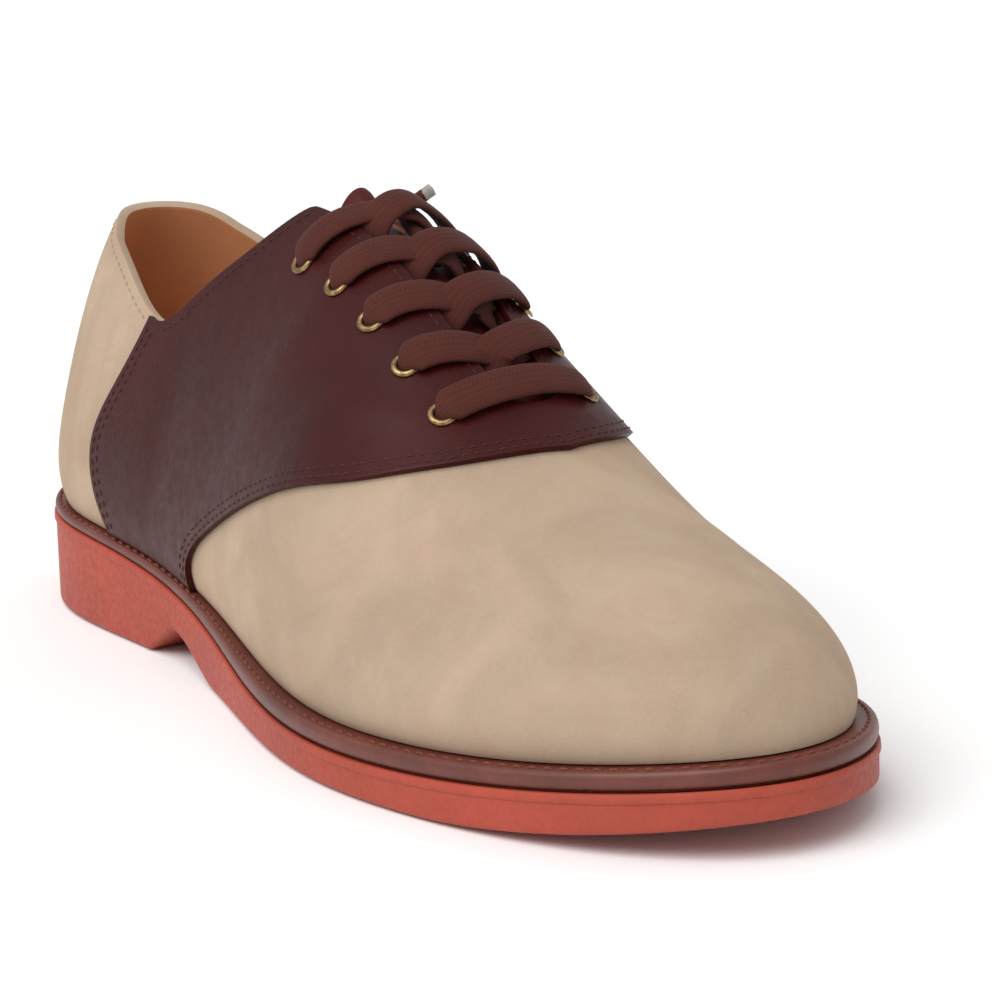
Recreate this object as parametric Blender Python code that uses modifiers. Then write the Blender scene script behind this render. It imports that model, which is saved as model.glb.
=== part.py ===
"""A plain-toe saddle oxford for the right foot, men's US 9: the pieces as a shoemaker puts them together.

X points to the wearer's right (the outer side of this foot), Y to the toe and Z up. The heel and the ball
of the sole stand on Z = 0, and the origin is under the middle of the shoe. All lengths are in metres.
"""
from math import acos, asin, cos, exp, pi, sin

import bmesh
import bpy
import numpy as np
from mathutils import Matrix, Vector

MM = 0.001
COLLECTION = "saddle_shoe"

# The last
LAST_LENGTH = 292 * MM
BALL_WIDTH = 94.5 * MM
INSTEP_HEIGHT = 92 * MM
HEEL_HEIGHT = 25.5 * MM
SWELL = 2.7 * MM
SWELL_LEVEL = 16 * MM
RIDGE_TO_INSIDE = 7 * MM
WAIST_FULLNESS = 8 * MM
HEEL_CENTRE = 0.13
TOE_START = 0.78
TOE_FULLNESS = 1.9

# The upper and what is sewn to it
WALL = 2.2 * MM
SADDLE_THICKNESS = 1.4 * MM
TONGUE_THICKNESS = 2.0 * MM
TONGUE_WIDTH = 50 * MM
TONGUE_CLEARANCE = 0.95 * MM
TONGUE_LEAN = 1.5 * MM
TONGUE_CROWN = 5.5 * MM
TONGUE_CROWN_WIDTH = 20 * MM
TONGUE_AHEAD_OF_THROAT = 10 * MM
TONGUE_CORNER = 3 * MM
CLEARANCE = 0.3 * MM
THROAT_TOP = 0.400
THROAT_END = 0.660
THROAT_ROUNDING = 0.012
FACING_GAP_TOP = 22 * MM
FACING_GAP_END = 12 * MM

# The sole
WELT_AT_HEEL = 2.1 * MM
WELT_AT_TOE = 4.0 * MM
WELT_OUT_HEEL = 3.0 * MM
WELT_OUT_TOE = 5.0 * MM
RUBBER_AT_WAIST = 8.0 * MM
TOE_SPRING = 8.0 * MM
BREAST = 0.272
BREAST_SLOPE = 0.048
SOLE_EDGE = 1.2 * MM
LIP_HEIGHT = 1.8 * MM
LIP_OUT = 0.5 * MM
INSOLE_ABOVE_WELT = 1.5 * MM

# The fastening
EYELET_PAIRS = 5
EYELET_FIRST = 0.438
EYELET_LAST = 0.643
OUTER_EYELETS_FROM_RIDGE = 20.3 * MM
INNER_EYELETS_AT_TOP = 18.0 * MM
INNER_EYELETS_AT_END = 15.0 * MM
EYELET_HOLE = 3.6 * MM
EYELET_FLANGE = 6.6 * MM
EYELET_LIFT = 0.7 * MM
EYELET_METAL = 0.35 * MM
LACE_WIDTH = 8.0 * MM
LACE_THICKNESS = 2.4 * MM
LACE_END_DIAMETER = 3.0 * MM

# Half widths of the last's edge from its long axis, as shares of the ball width
OUTLINE = (
    # along, outer, inner
    (0.00, 0.000, 0.000),
    (0.05, 0.238, 0.238),
    (0.12, 0.325, 0.325),
    (0.20, 0.339, 0.332),
    (0.30, 0.338, 0.308),
    (0.40, 0.374, 0.285),
    (0.50, 0.444, 0.310),
    (0.60, 0.510, 0.395),
    (0.68, 0.530, 0.455),
    (0.76, 0.502, 0.466),
    (0.84, 0.436, 0.436),
    (0.91, 0.342, 0.358),
    (0.96, 0.232, 0.246),
    (1.00, 0.000, 0.000),
)

# Height of the last's edge over the floor, as a share of the heel height
SEAT = (
    # along, height
    (0.00, 1.00),
    (0.10, 0.985),
    (0.20, 0.94),
    (0.30, 0.83),
    (0.40, 0.68),
    (0.50, 0.56),
    (0.60, 0.50),
    (0.68, 0.49),
    (0.78, 0.52),
    (0.88, 0.61),
    (1.00, 0.78),
)

# The cross sections: height of the ridge over the last's edge as a share of the instep height, its
# place toward the inner side as a share of RIDGE_TO_INSIDE, how far the inner side swells out over the
# waist as a share of WAIST_FULLNESS, and how square each section is
SECTIONS = (
    # along, height, ridge, fullness, across, upward
    (0.00, 0.90, 0.00, 0.00, 2.15, 1.35),
    (0.13, 0.90, 0.05, 0.00, 2.15, 1.45),
    (0.30, 1.00, 0.65, 0.65, 2.15, 1.50),
    (0.40, 1.01, 0.98, 1.00, 2.15, 1.50),
    (0.50, 0.95, 0.82, 1.00, 2.15, 1.60),
    (0.60, 0.775, 0.65, 0.62, 2.12, 1.78),
    (0.70, 0.570, 0.76, 0.20, 2.08, 1.76),
    (0.80, 0.44, 0.80, 0.00, 1.98, 1.74),
    (0.90, 0.395, 0.65, 0.00, 1.95, 1.74),
    (1.00, 0.375, 0.00, 0.00, 1.95, 1.76),
)

# Height of the collar over the last's edge, as a share of the instep height
COLLAR = (
    # along, height
    (0.00, 0.780),
    (0.05, 0.775),
    (0.12, 0.740),
    (0.18, 0.665),
    (0.235, 0.597),
    (0.265, 0.605),
    (0.31, 0.720),
    (0.36, 0.855),
    (0.40, 0.985),
)

# The lace's loose end, in millimetres from the ridge and over the last: negative across is the inner side
LACE_END_ROUTE = (
    # across, along, lift
    (-1.5, 0.520, -1.2),
    (-2.0, 0.500, -1.2),
    (-2.6, 0.480, -1.2),
    (-3.4, 0.461, -1.1),
    (-4.4, 0.446, -0.6),
    (-5.6, 0.436, 0.8),
    (-6.9, 0.4295, 3.2),
    (-7.7, 0.4275, 5.8),
    (-8.2, 0.428, 8.6),
)

# Underside of the rubber between the heel's breast and the ball, as a share of the rubber at the waist
ARCH = (
    # along, height
    (0.320, 0.98),
    (0.335, 0.91),
    (0.355, 0.70),
    (0.375, 0.42),
    (0.395, 0.17),
    (0.415, 0.02),
    (0.430, 0.00),
)
BALL_FLAT_END = 0.78

# Front and back edge of the saddle, against the way up the section from the last's edge to its ridge
SADDLE_FRONT = (
    # way up, along
    (0.00, 0.357),
    (0.08, 0.359),
    (0.14, 0.374),
    (0.20, 0.406),
    (0.28, 0.465),
    (0.35, 0.525),
    (0.46, 0.598),
    (0.60, 0.649),
    (0.80, 0.688),
    (1.00, 0.703),
)
SADDLE_BACK = (
    # way up, along
    (0.00, 0.206),
    (0.06, 0.202),
    (0.17, 0.185),
    (0.23, 0.181),
    (0.29, 0.188),
    (0.35, 0.204),
    (0.44, 0.228),
    (0.50, 0.240),
    (0.60, 0.256),
    (1.00, 0.300),
)

RIBS = 34
ROWS = 9
WIDEST_ANGLE = 0.35
SADDLE_FOOT = 0.4 * MM
EYELET_FACETS = 12
LACE_FACETS = 8


def smooth_curve(rows, column):
    """A smooth function through one column of a table, against its first column."""
    xs = np.array([row[0] for row in rows], dtype=float)
    ys = np.array([row[column] for row in rows], dtype=float)
    return spline(xs, ys)


def spline(xs, ys):
    """The natural cubic through the points, held level past both ends."""
    step = np.diff(xs)
    slope = np.diff(ys) / step
    count = len(xs)
    system = np.eye(count)
    bend = np.zeros(count)
    for i in range(1, count - 1):
        system[i, i - 1:i + 2] = step[i - 1], 2 * (step[i - 1] + step[i]), step[i]
        bend[i] = 6 * (slope[i] - slope[i - 1])
    bend = np.linalg.solve(system, bend)

    def value(x):
        x = min(max(x, xs[0]), xs[-1])
        i = min(max(int(np.searchsorted(xs, x)) - 1, 0), count - 2)
        before, after, width = x - xs[i], xs[i + 1] - x, step[i]
        curved = (bend[i] * after ** 3 + bend[i + 1] * before ** 3) / (6 * width)
        start = (ys[i] / width - bend[i] * width / 6) * after
        end = (ys[i + 1] / width - bend[i + 1] * width / 6) * before
        return float(curved + start + end)

    return value


def turn(along):
    """The angle, as a share of a half turn, at which a half circle reaches this share of its width."""
    return acos(1 - 2 * min(max(along, 0.0), 1.0)) / pi


def blend(x, start, end):
    """0 before start, 1 after end, and a soft step between."""
    x = min(max((x - start) / (end - start), 0.0), 1.0)
    return x * x * (3 - 2 * x)


OUTER_HALF = spline(np.array([turn(row[0]) for row in OUTLINE]), np.array([row[1] for row in OUTLINE]))
INNER_HALF = spline(np.array([turn(row[0]) for row in OUTLINE]), np.array([row[2] for row in OUTLINE]))
SEAT_SHARE = smooth_curve(SEAT, 1)
RIDGE_SHARE = smooth_curve(SECTIONS, 1)
RIDGE_SHIFT = smooth_curve(SECTIONS, 2)
FULLNESS = smooth_curve(SECTIONS, 3)
ACROSS = smooth_curve(SECTIONS, 4)
UPWARD = smooth_curve(SECTIONS, 5)
COLLAR_SHARE = smooth_curve(COLLAR, 1)
ARCH_SHARE = smooth_curve(ARCH, 1)
SADDLE_FRONT_AT = smooth_curve(SADDLE_FRONT, 1)
SADDLE_BACK_AT = smooth_curve(SADDLE_BACK, 1)


def half_width(along, side):
    """Distance of the last's edge from its axis; side is 1 on the outer side and -1 on the inner."""
    share = OUTER_HALF(turn(along)) if side > 0 else INNER_HALF(turn(along))
    return BALL_WIDTH * share


def edge_height(along):
    """Height over the floor of the last's edge, where the upper meets the welt."""
    return HEEL_HEIGHT * SEAT_SHARE(along)


def ridge_height(along):
    """Height of the last's ridge over its edge, rounded down to nothing at the tip of the toe."""
    into_toe = max((along - TOE_START) / (1 - TOE_START), 0.0)
    rounding = max(1 - into_toe ** TOE_FULLNESS, 0.0) ** (1 / TOE_FULLNESS)
    return INSTEP_HEIGHT * RIDGE_SHARE(along) * rounding


def ridge_x(along):
    return -RIDGE_TO_INSIDE * RIDGE_SHIFT(along)


def welt_thickness(along):
    return WELT_AT_HEEL + (WELT_AT_TOE - WELT_AT_HEEL) * blend(along, 0.15, 0.60)


def welt_out(along):
    """How far the welt and the sole stand out from the last's edge."""
    return WELT_OUT_HEEL + (WELT_OUT_TOE - WELT_OUT_HEEL) * blend(along, 0.30, 0.65)


def station_list():
    """Shares of the length at which every piece has a section: close together at heel and toe."""
    even = [(1 - cos(pi * i / RIBS)) / 2 for i in range(RIBS + 1)]
    special = [BREAST, BREAST + BREAST_SLOPE, THROAT_TOP - THROAT_ROUNDING, THROAT_TOP]
    for share in (0.0, 0.08, 0.35):
        special.append(THROAT_END - share * THROAT_ROUNDING)
    special.append(THROAT_END - THROAT_ROUNDING)
    kept = [s for s in even if min(abs(s - other) for other in special) > 0.004]
    return sorted(kept + special)


STATIONS = station_list()


def edge_outline(out):
    """The last's edge moved outward by out(along), as two lists of (x, y), outer side and inner side."""
    outer = [(half_width(s, 1), LAST_LENGTH * s) for s in STATIONS]
    inner = [(-half_width(s, -1), LAST_LENGTH * s) for s in STATIONS]
    loop = outer + inner[-2:0:-1]
    count = len(loop)
    moved = []
    for i in range(count):
        before, after = loop[i - 1], loop[(i + 1) % count]
        normal = Vector((after[1] - before[1], before[0] - after[0])).normalized()
        along = loop[i][1] / LAST_LENGTH
        moved.append((loop[i][0] + normal.x * out(along), loop[i][1] + normal.y * out(along)))
    top = len(STATIONS) - 1
    return moved[:top + 1], [moved[0]] + moved[:top - 1:-1]


def middle_of_sole():
    """The middle of the sole's plan, which the shoe's origin lies under."""
    outer, inner = edge_outline(lambda along: welt_out(along) + LIP_OUT)
    xs = [p[0] for p in outer + inner]
    ys = [p[1] for p in outer + inner]
    return (max(xs) + min(xs)) / 2, (max(ys) + min(ys)) / 2


MIDDLE_X, MIDDLE_Y = middle_of_sole()


def placed(x, y, z):
    """A point measured from the last's heel and axis, in the shoe's own frame."""
    return Vector((x - MIDDLE_X, y - MIDDLE_Y, z))


def rib_base(side, along):
    """Where a rib of the last starts and the line it leans to: (core x, core y, reach x, reach y)."""
    y = LAST_LENGTH * along
    core_x, core_y = ridge_x(along), max(y, LAST_LENGTH * HEEL_CENTRE)
    return core_x, core_y, side * half_width(along, side) - core_x, y - core_y


def last_point(side, along, angle):
    """A point of the last's surface: angle runs from 0 at its edge to a quarter turn at its ridge."""
    core_x, core_y, reach_x, reach_y = rib_base(side, along)
    reach = max((reach_x ** 2 + reach_y ** 2) ** 0.5, 1e-9)
    rise = ridge_height(along) * max(sin(angle), 0.0) ** (2 / UPWARD(along))
    share = max(cos(angle), 0.0) ** (2 / ACROSS(along))
    swell = SWELL * rise / SWELL_LEVEL * exp(1 - rise / SWELL_LEVEL) * min(reach / BALL_WIDTH * 4, 1.0)
    if side < 0:
        swell += WAIST_FULLNESS * max(FULLNESS(along), 0.0) * sin(2 * angle) ** 2
    stretch = share + swell * min(share * 4, 1.0) / reach
    return placed(core_x + reach_x * stretch, core_y + reach_y * stretch,
                  edge_height(along) + CLEARANCE + rise)


def angle_at_height(along, height):
    share = min(max(height / max(ridge_height(along), 1e-9), 0.0), 1.0)
    return asin(share ** (UPWARD(along) / 2))


def angle_from_ridge(side, along, distance):
    """The angle at which the surface is this far across from the ridge, found by halving."""
    ridge = placed(ridge_x(along), 0, 0).x
    low, high = WIDEST_ANGLE, pi / 2
    for _ in range(24):
        middle = (low + high) / 2
        if abs(last_point(side, along, middle).x - ridge) > distance:
            low = middle
        else:
            high = middle
    return (low + high) / 2


def facing_gap(along):
    """Half the gap between the facings: parallel-sided, with a rounded end at the throat."""
    share = (along - THROAT_TOP) / (THROAT_END - THROAT_TOP)
    half = (FACING_GAP_TOP + (FACING_GAP_END - FACING_GAP_TOP) * share) / 2
    into_end = (along - (THROAT_END - THROAT_ROUNDING)) / THROAT_ROUNDING
    return half * max(1 - max(into_end, 0.0) ** 2, 0.0) ** 0.5


def rib_end(side, along):
    """The angle at which the upper ends: at the collar, at the facing's edge, or not before the ridge."""
    if along >= THROAT_END - 1e-6:
        return pi / 2
    if along < THROAT_TOP - 1e-6:
        return angle_at_height(along, INSTEP_HEIGHT * COLLAR_SHARE(along))
    return angle_from_ridge(side, along, facing_gap(along))


def new_material(name, colour, roughness, metallic=0.0):
    material = bpy.data.materials.new(name)
    material.use_nodes = True
    shader = material.node_tree.nodes["Principled BSDF"]
    shader.inputs["Base Color"].default_value = (*colour, 1.0)
    shader.inputs["Roughness"].default_value = roughness
    shader.inputs["Metallic"].default_value = metallic
    material.diffuse_color = (*colour, 1.0)
    return material


def clear_scene():
    for thing in list(bpy.data.objects):
        bpy.data.objects.remove(thing, do_unlink=True)


def new_collection(name):
    made = bpy.data.collections.new(name)
    bpy.context.scene.collection.children.link(made)
    return made


def mesh_object(name, points, faces, collection, material=None, split_quads=False):
    """An object from points and faces, with the doubled points of closed ends merged.

    Skins that lie one on another split their quads the same way, so that they stay one clearance apart.
    """
    body = bmesh.new()
    vertices = [body.verts.new(point) for point in points]
    for face in faces:
        body.faces.new([vertices[i] for i in face])
    bmesh.ops.remove_doubles(body, verts=body.verts, dist=1e-6)
    bmesh.ops.recalc_face_normals(body, faces=body.faces)
    if split_quads:
        bmesh.ops.triangulate(body, faces=body.faces, quad_method="FIXED")
    mesh = bpy.data.meshes.new(name)
    body.to_mesh(mesh)
    body.free()
    mesh.shade_smooth()
    made = bpy.data.objects.new(name, mesh)
    collection.objects.link(made)
    if material:
        mesh.materials.append(material)
    return made


def grid_faces(rows, columns, first=0, close_rows=False, close_columns=False):
    """Quads between neighbouring points of a grid that is stored row by row."""
    faces = []
    for i in range(rows if close_rows else rows - 1):
        for j in range(columns if close_columns else columns - 1):
            a = first + i * columns + j
            b = first + i * columns + (j + 1) % columns
            c = first + (i + 1) % rows * columns + (j + 1) % columns
            d = first + (i + 1) % rows * columns + j
            faces.append((a, b, c, d))
    return faces


def add_modifier(thing, kind, **settings):
    modifier = thing.modifiers.new(kind.title(), kind)
    for key, value in settings.items():
        setattr(modifier, key, value)
    return modifier


def cut(thing, cutter, operation="DIFFERENCE", solver="EXACT"):
    cutter.hide_render = True
    cutter.display_type = "WIRE"
    add_modifier(thing, "BOOLEAN", object=cutter, operation=operation, solver=solver)


def upper_skin(name, collection, lift, material):
    """The upper's outer surface, open at the collar, the throat and underneath, moved out by lift."""
    points, faces = [], []
    for side in (1, -1):
        first = len(points)
        for along in STATIONS:
            end = rib_end(side, along)
            for row in range(ROWS + 1):
                points.append(last_point(side, along, end * row / ROWS))
        faces += grid_faces(len(STATIONS), ROWS + 1, first)
    skin = mesh_object(name, points, faces, collection, material, split_quads=True)
    turn_outward(skin)
    if lift:
        normals = [vertex.normal.copy() for vertex in skin.data.vertices]
        for vertex, normal in zip(skin.data.vertices, normals):
            vertex.co += normal * lift
    return skin


def turn_outward(skin):
    """Flip an open skin whose faces look into the shoe."""
    inside = placed(0, LAST_LENGTH * 0.5, INSTEP_HEIGHT * 0.4)
    faces = skin.data.polygons
    if sum((face.center - inside).dot(face.normal) * face.area for face in faces) < 0:
        skin.data.flip_normals()


def make_upper(collection):
    """The upper: one wall of even thickness under the last's surface."""
    upper = upper_skin("upper", collection, 0.0, new_material("nubuck", (0.56, 0.43, 0.29), 0.9))
    add_modifier(upper, "SOLIDIFY", thickness=WALL, offset=-1, use_even_offset=False)
    return upper


def saddle_foot(side, along):
    """The angle at which the saddle starts, clear of the welt also where the upper overhangs it."""
    outward = surface_frame(side, along, angle_at_height(along, SADDLE_FOOT))[1]
    drop = max(-outward.z, 0.0) * (CLEARANCE + SADDLE_THICKNESS)
    return angle_at_height(along, SADDLE_FOOT + drop)


def saddle_form(cutters):
    """A thick solid on the last's surface, between the saddle's back and front edges on both sides."""
    columns, rows = 12, 10
    layers = (-3 * WALL, 3 * WALL)
    points, faces = [], []
    for side in (1, -1):
        for lift in layers:
            for i in range(columns + 1):
                for j in range(rows + 1):
                    up = j / rows
                    along = SADDLE_BACK_AT(up) + (SADDLE_FRONT_AT(up) - SADDLE_BACK_AT(up)) * i / columns
                    foot = saddle_foot(side, along)
                    place, outward, _ = surface_frame(side, along, foot + (pi / 2 - foot) * up)
                    points.append(place + outward * lift)
    layer = (columns + 1) * (rows + 1)
    for first in range(0, 4 * layer, layer):
        faces += grid_faces(columns + 1, rows + 1, first)
    for low in (0, 2 * layer):
        edges = [[i * (rows + 1) for i in range(columns + 1)],
                 list(range(rows + 1)),
                 [columns * (rows + 1) + j for j in range(rows + 1)]]
        for edge in edges:
            faces += [(low + a, low + b, low + layer + b, low + layer + a) for a, b in zip(edge, edge[1:])]
    return mesh_object("saddle_form", points, faces, cutters)


def make_saddle(collection, cutters):
    """The saddle: a band of the upper's own form, one clearance and one leather above it."""
    saddle = upper_skin("saddle", collection, CLEARANCE, new_material("oxblood", (0.075, 0.014, 0.013), 0.35))
    add_modifier(saddle, "SOLIDIFY", thickness=SADDLE_THICKNESS, offset=1, use_even_offset=False)
    cut(saddle, saddle_form(cutters), "INTERSECT", "MANIFOLD")
    return saddle


def surface_frame(side, along, angle):
    """A point of the last's surface, the direction straight out of it and the direction to the toe."""
    step = 0.004
    here = last_point(side, along, angle)
    forward = (last_point(side, along + step, angle) - last_point(side, along - step, angle)).normalized()
    if angle > pi / 2 - step:
        upward = Vector((-side, 0, 0))
    else:
        upward = last_point(side, along, angle + step) - last_point(side, along, max(angle - step, 0.0))
    outward = forward.cross(upward).normalized()
    return here, outward * side, forward


def eyelet_along(number):
    """Share of the length at eyelet pair number, counted from the top; they are evenly spaced."""
    shares = np.linspace(EYELET_FIRST, EYELET_LAST, 41)
    heights = [edge_height(share) + ridge_height(share) for share in shares]
    steps = np.hypot(np.diff(shares) * LAST_LENGTH, np.diff(heights))
    travelled = np.concatenate([[0.0], np.cumsum(steps)])
    return float(np.interp(travelled[-1] * number / (EYELET_PAIRS - 1), travelled, shares))


def eyelet_from_ridge(side, along):
    """Distance of the eyelets from the ridge; the inner row closes in toward the throat's end."""
    if side > 0:
        return OUTER_EYELETS_FROM_RIDGE
    share = (along - EYELET_FIRST) / (EYELET_LAST - EYELET_FIRST)
    return INNER_EYELETS_AT_TOP + (INNER_EYELETS_AT_END - INNER_EYELETS_AT_TOP) * share


def eyelet_place(side, number):
    """Where eyelet pair number, from the top, goes through the facing."""
    along = eyelet_along(number)
    angle = angle_from_ridge(side, along, eyelet_from_ridge(side, along))
    return surface_frame(side, along, angle)


def facing_matrix(place, outward):
    return Matrix.Translation(place) @ outward.to_track_quat("Z", "Y").to_matrix().to_4x4()


def make_eyelets(collection, cutters, upper, saddle):
    """Brass eyelets: a rolled flange on the saddle and a barrel through saddle and upper."""
    brass = new_material("antique_brass", (0.30, 0.21, 0.10), 0.35, 1.0)
    top_of_saddle = CLEARANCE + SADDLE_THICKNESS
    flange_low = top_of_saddle + CLEARANCE
    hole, outer = EYELET_HOLE / 2, EYELET_FLANGE / 2
    barrel = hole + EYELET_METAL
    profile = (
        (barrel, -WALL),
        (barrel, flange_low),
        (outer, flange_low),
        ((outer + barrel) / 2, flange_low + EYELET_LIFT),
        (hole, flange_low + EYELET_LIFT * 0.5),
        (hole, -WALL),
    )
    drill = bmesh.new()
    for side, name in ((1, "outer"), (-1, "inner")):
        for number in range(EYELET_PAIRS):
            place, outward, _ = eyelet_place(side, number)
            matrix = facing_matrix(place, outward)
            turned_ring(f"eyelet_{name}_{number + 1}", profile, matrix, collection, brass)
            bmesh.ops.create_cone(drill, cap_ends=True, segments=EYELET_FACETS, radius1=barrel + CLEARANCE,
                                  radius2=barrel + CLEARANCE, depth=6 * WALL, matrix=matrix)
    mesh = bpy.data.meshes.new("eyelet_holes")
    drill.to_mesh(mesh)
    drill.free()
    holes = bpy.data.objects.new("eyelet_holes", mesh)
    cutters.objects.link(holes)
    for pierced in (upper, saddle):
        cut(pierced, holes)


def turned_ring(name, profile, matrix, collection, material):
    """A closed profile turned round Z, placed by a matrix."""
    points = []
    for i in range(EYELET_FACETS):
        angle = 2 * pi * i / EYELET_FACETS
        points += [matrix @ Vector((r * cos(angle), r * sin(angle), z)) for r, z in profile]
    faces = grid_faces(EYELET_FACETS, len(profile), close_rows=True, close_columns=True)
    return mesh_object(name, points, faces, collection, material)


def ladder(first, second, count):
    """Quads across from one side's points to the other's."""
    return [(first + i, first + i + 1, second + i + 1, second + i) for i in range(count - 1)]


def underside(along):
    """Height of the rubber's underside: flat heel, sloping breast, waist, flat ball and the toe's spring."""
    if along <= BREAST + 1e-6:
        return 0.0
    if along <= BALL_FLAT_END:
        rising = min((along - BREAST) / BREAST_SLOPE, 1.0)
        return max(RUBBER_AT_WAIST * ARCH_SHARE(along), 0.0) * rising
    return TOE_SPRING * ((along - BALL_FLAT_END) / (1 - BALL_FLAT_END)) ** 1.7


def rubber_top(along):
    return edge_height(along) - welt_thickness(along) - CLEARANCE


def plate(name, levels, collection, material):
    """A plate with a shaped edge; each level gives how far out it stands and its height at a station."""
    points, faces = [], []
    count = len(STATIONS)
    for out, height in levels:
        for side in edge_outline(out):
            points += [placed(x, y, height(along)) for (x, y), along in zip(side, STATIONS)]
    for level in range(len(levels) - 1):
        for side in (0, 1):
            low = (2 * level + side) * count
            faces += [(low + i, low + i + 1, low + 2 * count + i + 1, low + 2 * count + i)
                      for i in range(count - 1)]
    faces += ladder(0, count, count)
    top = 2 * (len(levels) - 1) * count
    faces += ladder(top, top + count, count)
    return mesh_object(name, points, faces, collection, material)


def make_outsole(collection):
    """The red rubber unit: heel and sole in one, with a lip along the top of its side."""
    levels = (
        (lambda s: welt_out(s) - SOLE_EDGE, underside),
        (welt_out, lambda s: underside(s) + SOLE_EDGE),
        (welt_out, lambda s: rubber_top(s) - LIP_HEIGHT - LIP_OUT),
        (lambda s: welt_out(s) + LIP_OUT, lambda s: rubber_top(s) - LIP_HEIGHT),
        (lambda s: welt_out(s) + LIP_OUT, lambda s: rubber_top(s) - LIP_OUT),
        (welt_out, rubber_top),
    )
    return plate("outsole", levels, collection, new_material("rubber", (0.50, 0.085, 0.050), 0.6))


def make_insole(collection):
    """The insole, inside the upper's wall and the welt, on the rubber."""
    def inset(along):
        return -(WALL + 2 * CLEARANCE)

    levels = (
        (inset, lambda s: rubber_top(s) + CLEARANCE),
        (inset, lambda s: edge_height(s) + INSOLE_ABOVE_WELT),
    )
    return plate("insole", levels, collection, new_material("sock_leather", (0.40, 0.22, 0.11), 0.6))


def make_welt(collection):
    """The welt: a strip round the whole shoe, under the edge of the upper and on the rubber."""
    rounding = 0.25
    ring = (
        (lambda s: -WALL, lambda s: edge_height(s) - welt_thickness(s)),
        (welt_out, lambda s: edge_height(s) - welt_thickness(s)),
        (welt_out, lambda s: edge_height(s) - rounding * welt_thickness(s)),
        (lambda s: welt_out(s) - rounding * welt_thickness(s), edge_height),
        (lambda s: -WALL, edge_height),
    )
    sides = [edge_outline(out) for out, _ in ring]
    count = len(STATIONS)
    order = [(0, i) for i in range(count)] + [(1, i) for i in range(count - 2, 0, -1)]
    points = []
    for side, i in order:
        for (_, height), outlines in zip(ring, sides):
            x, y = outlines[side][i]
            points.append(placed(x, y, height(STATIONS[i])))
    faces = grid_faces(len(order), len(ring), close_rows=True, close_columns=True)
    leather = new_material("welt_leather", (0.18, 0.06, 0.04), 0.5)
    return mesh_object("welt", points, faces, collection, leather)


def make_tongue(collection):
    """The tongue: a strip under the facings, from ahead of the throat up to their tops, crowned there."""
    low, high = THROAT_END + TONGUE_AHEAD_OF_THROAT / LAST_LENGTH, THROAT_TOP
    rows, columns = 12, 10
    sink = WALL + TONGUE_CLEARANCE + TONGUE_THICKNESS
    points = []
    for depth in (sink - TONGUE_THICKNESS, sink):
        for i in range(rows + 1):
            share = i / rows
            half = TONGUE_WIDTH / 2 * (0.72 + 0.28 * share) * (1 - 0.10 * blend(share, 0.9, 1.0))
            for j in range(columns + 1):
                distance = half * abs(2 * j / columns - 1)
                side = 1 if 2 * j >= columns else -1
                corner = TONGUE_CORNER / LAST_LENGTH * (distance / half) ** 3 * blend(share, 0.85, 1.0)
                at = low + (high - low) * share + corner
                place, outward, _ = surface_frame(side, at, angle_from_ridge(side, at, distance))
                into_crown = min(distance / (TONGUE_CROWN_WIDTH / 2), 1.0)
                crown = TONGUE_CROWN * blend(share, 0.86, 1.0) * cos(into_crown * pi / 2) ** 2
                lean = TONGUE_LEAN * blend(share, 0.75, 0.95)
                points.append(place + outward * (crown - depth - lean))
    per_layer = (rows + 1) * (columns + 1)
    faces = grid_faces(rows + 1, columns + 1) + grid_faces(rows + 1, columns + 1, per_layer)
    rim = list(range(columns + 1))
    rim += [i * (columns + 1) + columns for i in range(1, rows + 1)]
    rim += [rows * (columns + 1) + j for j in range(columns - 1, -1, -1)]
    rim += [i * (columns + 1) for i in range(rows - 1, 0, -1)]
    for a, b in zip(rim, rim[1:] + rim[:1]):
        faces.append((a, b, per_layer + b, per_layer + a))
    leather = new_material("tongue_leather", (0.09, 0.02, 0.02), 0.5)
    return mesh_object("tongue", points, faces, collection, leather)


def ribbon(name, path, collection, material):
    """A flat lace: an oval swept along (place, outward) points."""
    sides = LACE_FACETS
    points = []
    places = [place for place, _ in path]
    for i, (place, outward) in enumerate(path):
        run = (places[min(i + 1, len(path) - 1)] - places[max(i - 1, 0)]).normalized()
        across = run.cross(outward).normalized()
        lift = across.cross(run).normalized()
        for k in range(sides):
            angle = 2 * pi * k / sides
            sideways, up = LACE_WIDTH / 2 * cos(angle), LACE_THICKNESS / 2 * sin(angle)
            points.append(place + across * sideways + lift * up)
    faces = grid_faces(len(path), sides, close_columns=True)
    faces += [tuple(range(sides)), tuple(range((len(path) - 1) * sides, len(path) * sides))]
    return mesh_object(name, points, faces, collection, material)


def lace_path(marks, steps):
    """Points over the throat through (across from the ridge, along, lift) marks, smoothly joined."""
    spots = np.linspace(0, 1, len(marks))
    curves = [spline(spots, np.array([mark[i] for mark in marks], dtype=float)) for i in range(3)]
    path = []
    for i in range(steps + 1):
        across, along, lift = (curve(i / steps) for curve in curves)
        side = 1 if across >= 0 else -1
        place, outward, _ = surface_frame(side, along, angle_from_ridge(side, along, abs(across)))
        path.append((place + outward * lift, outward))
    return path


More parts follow.
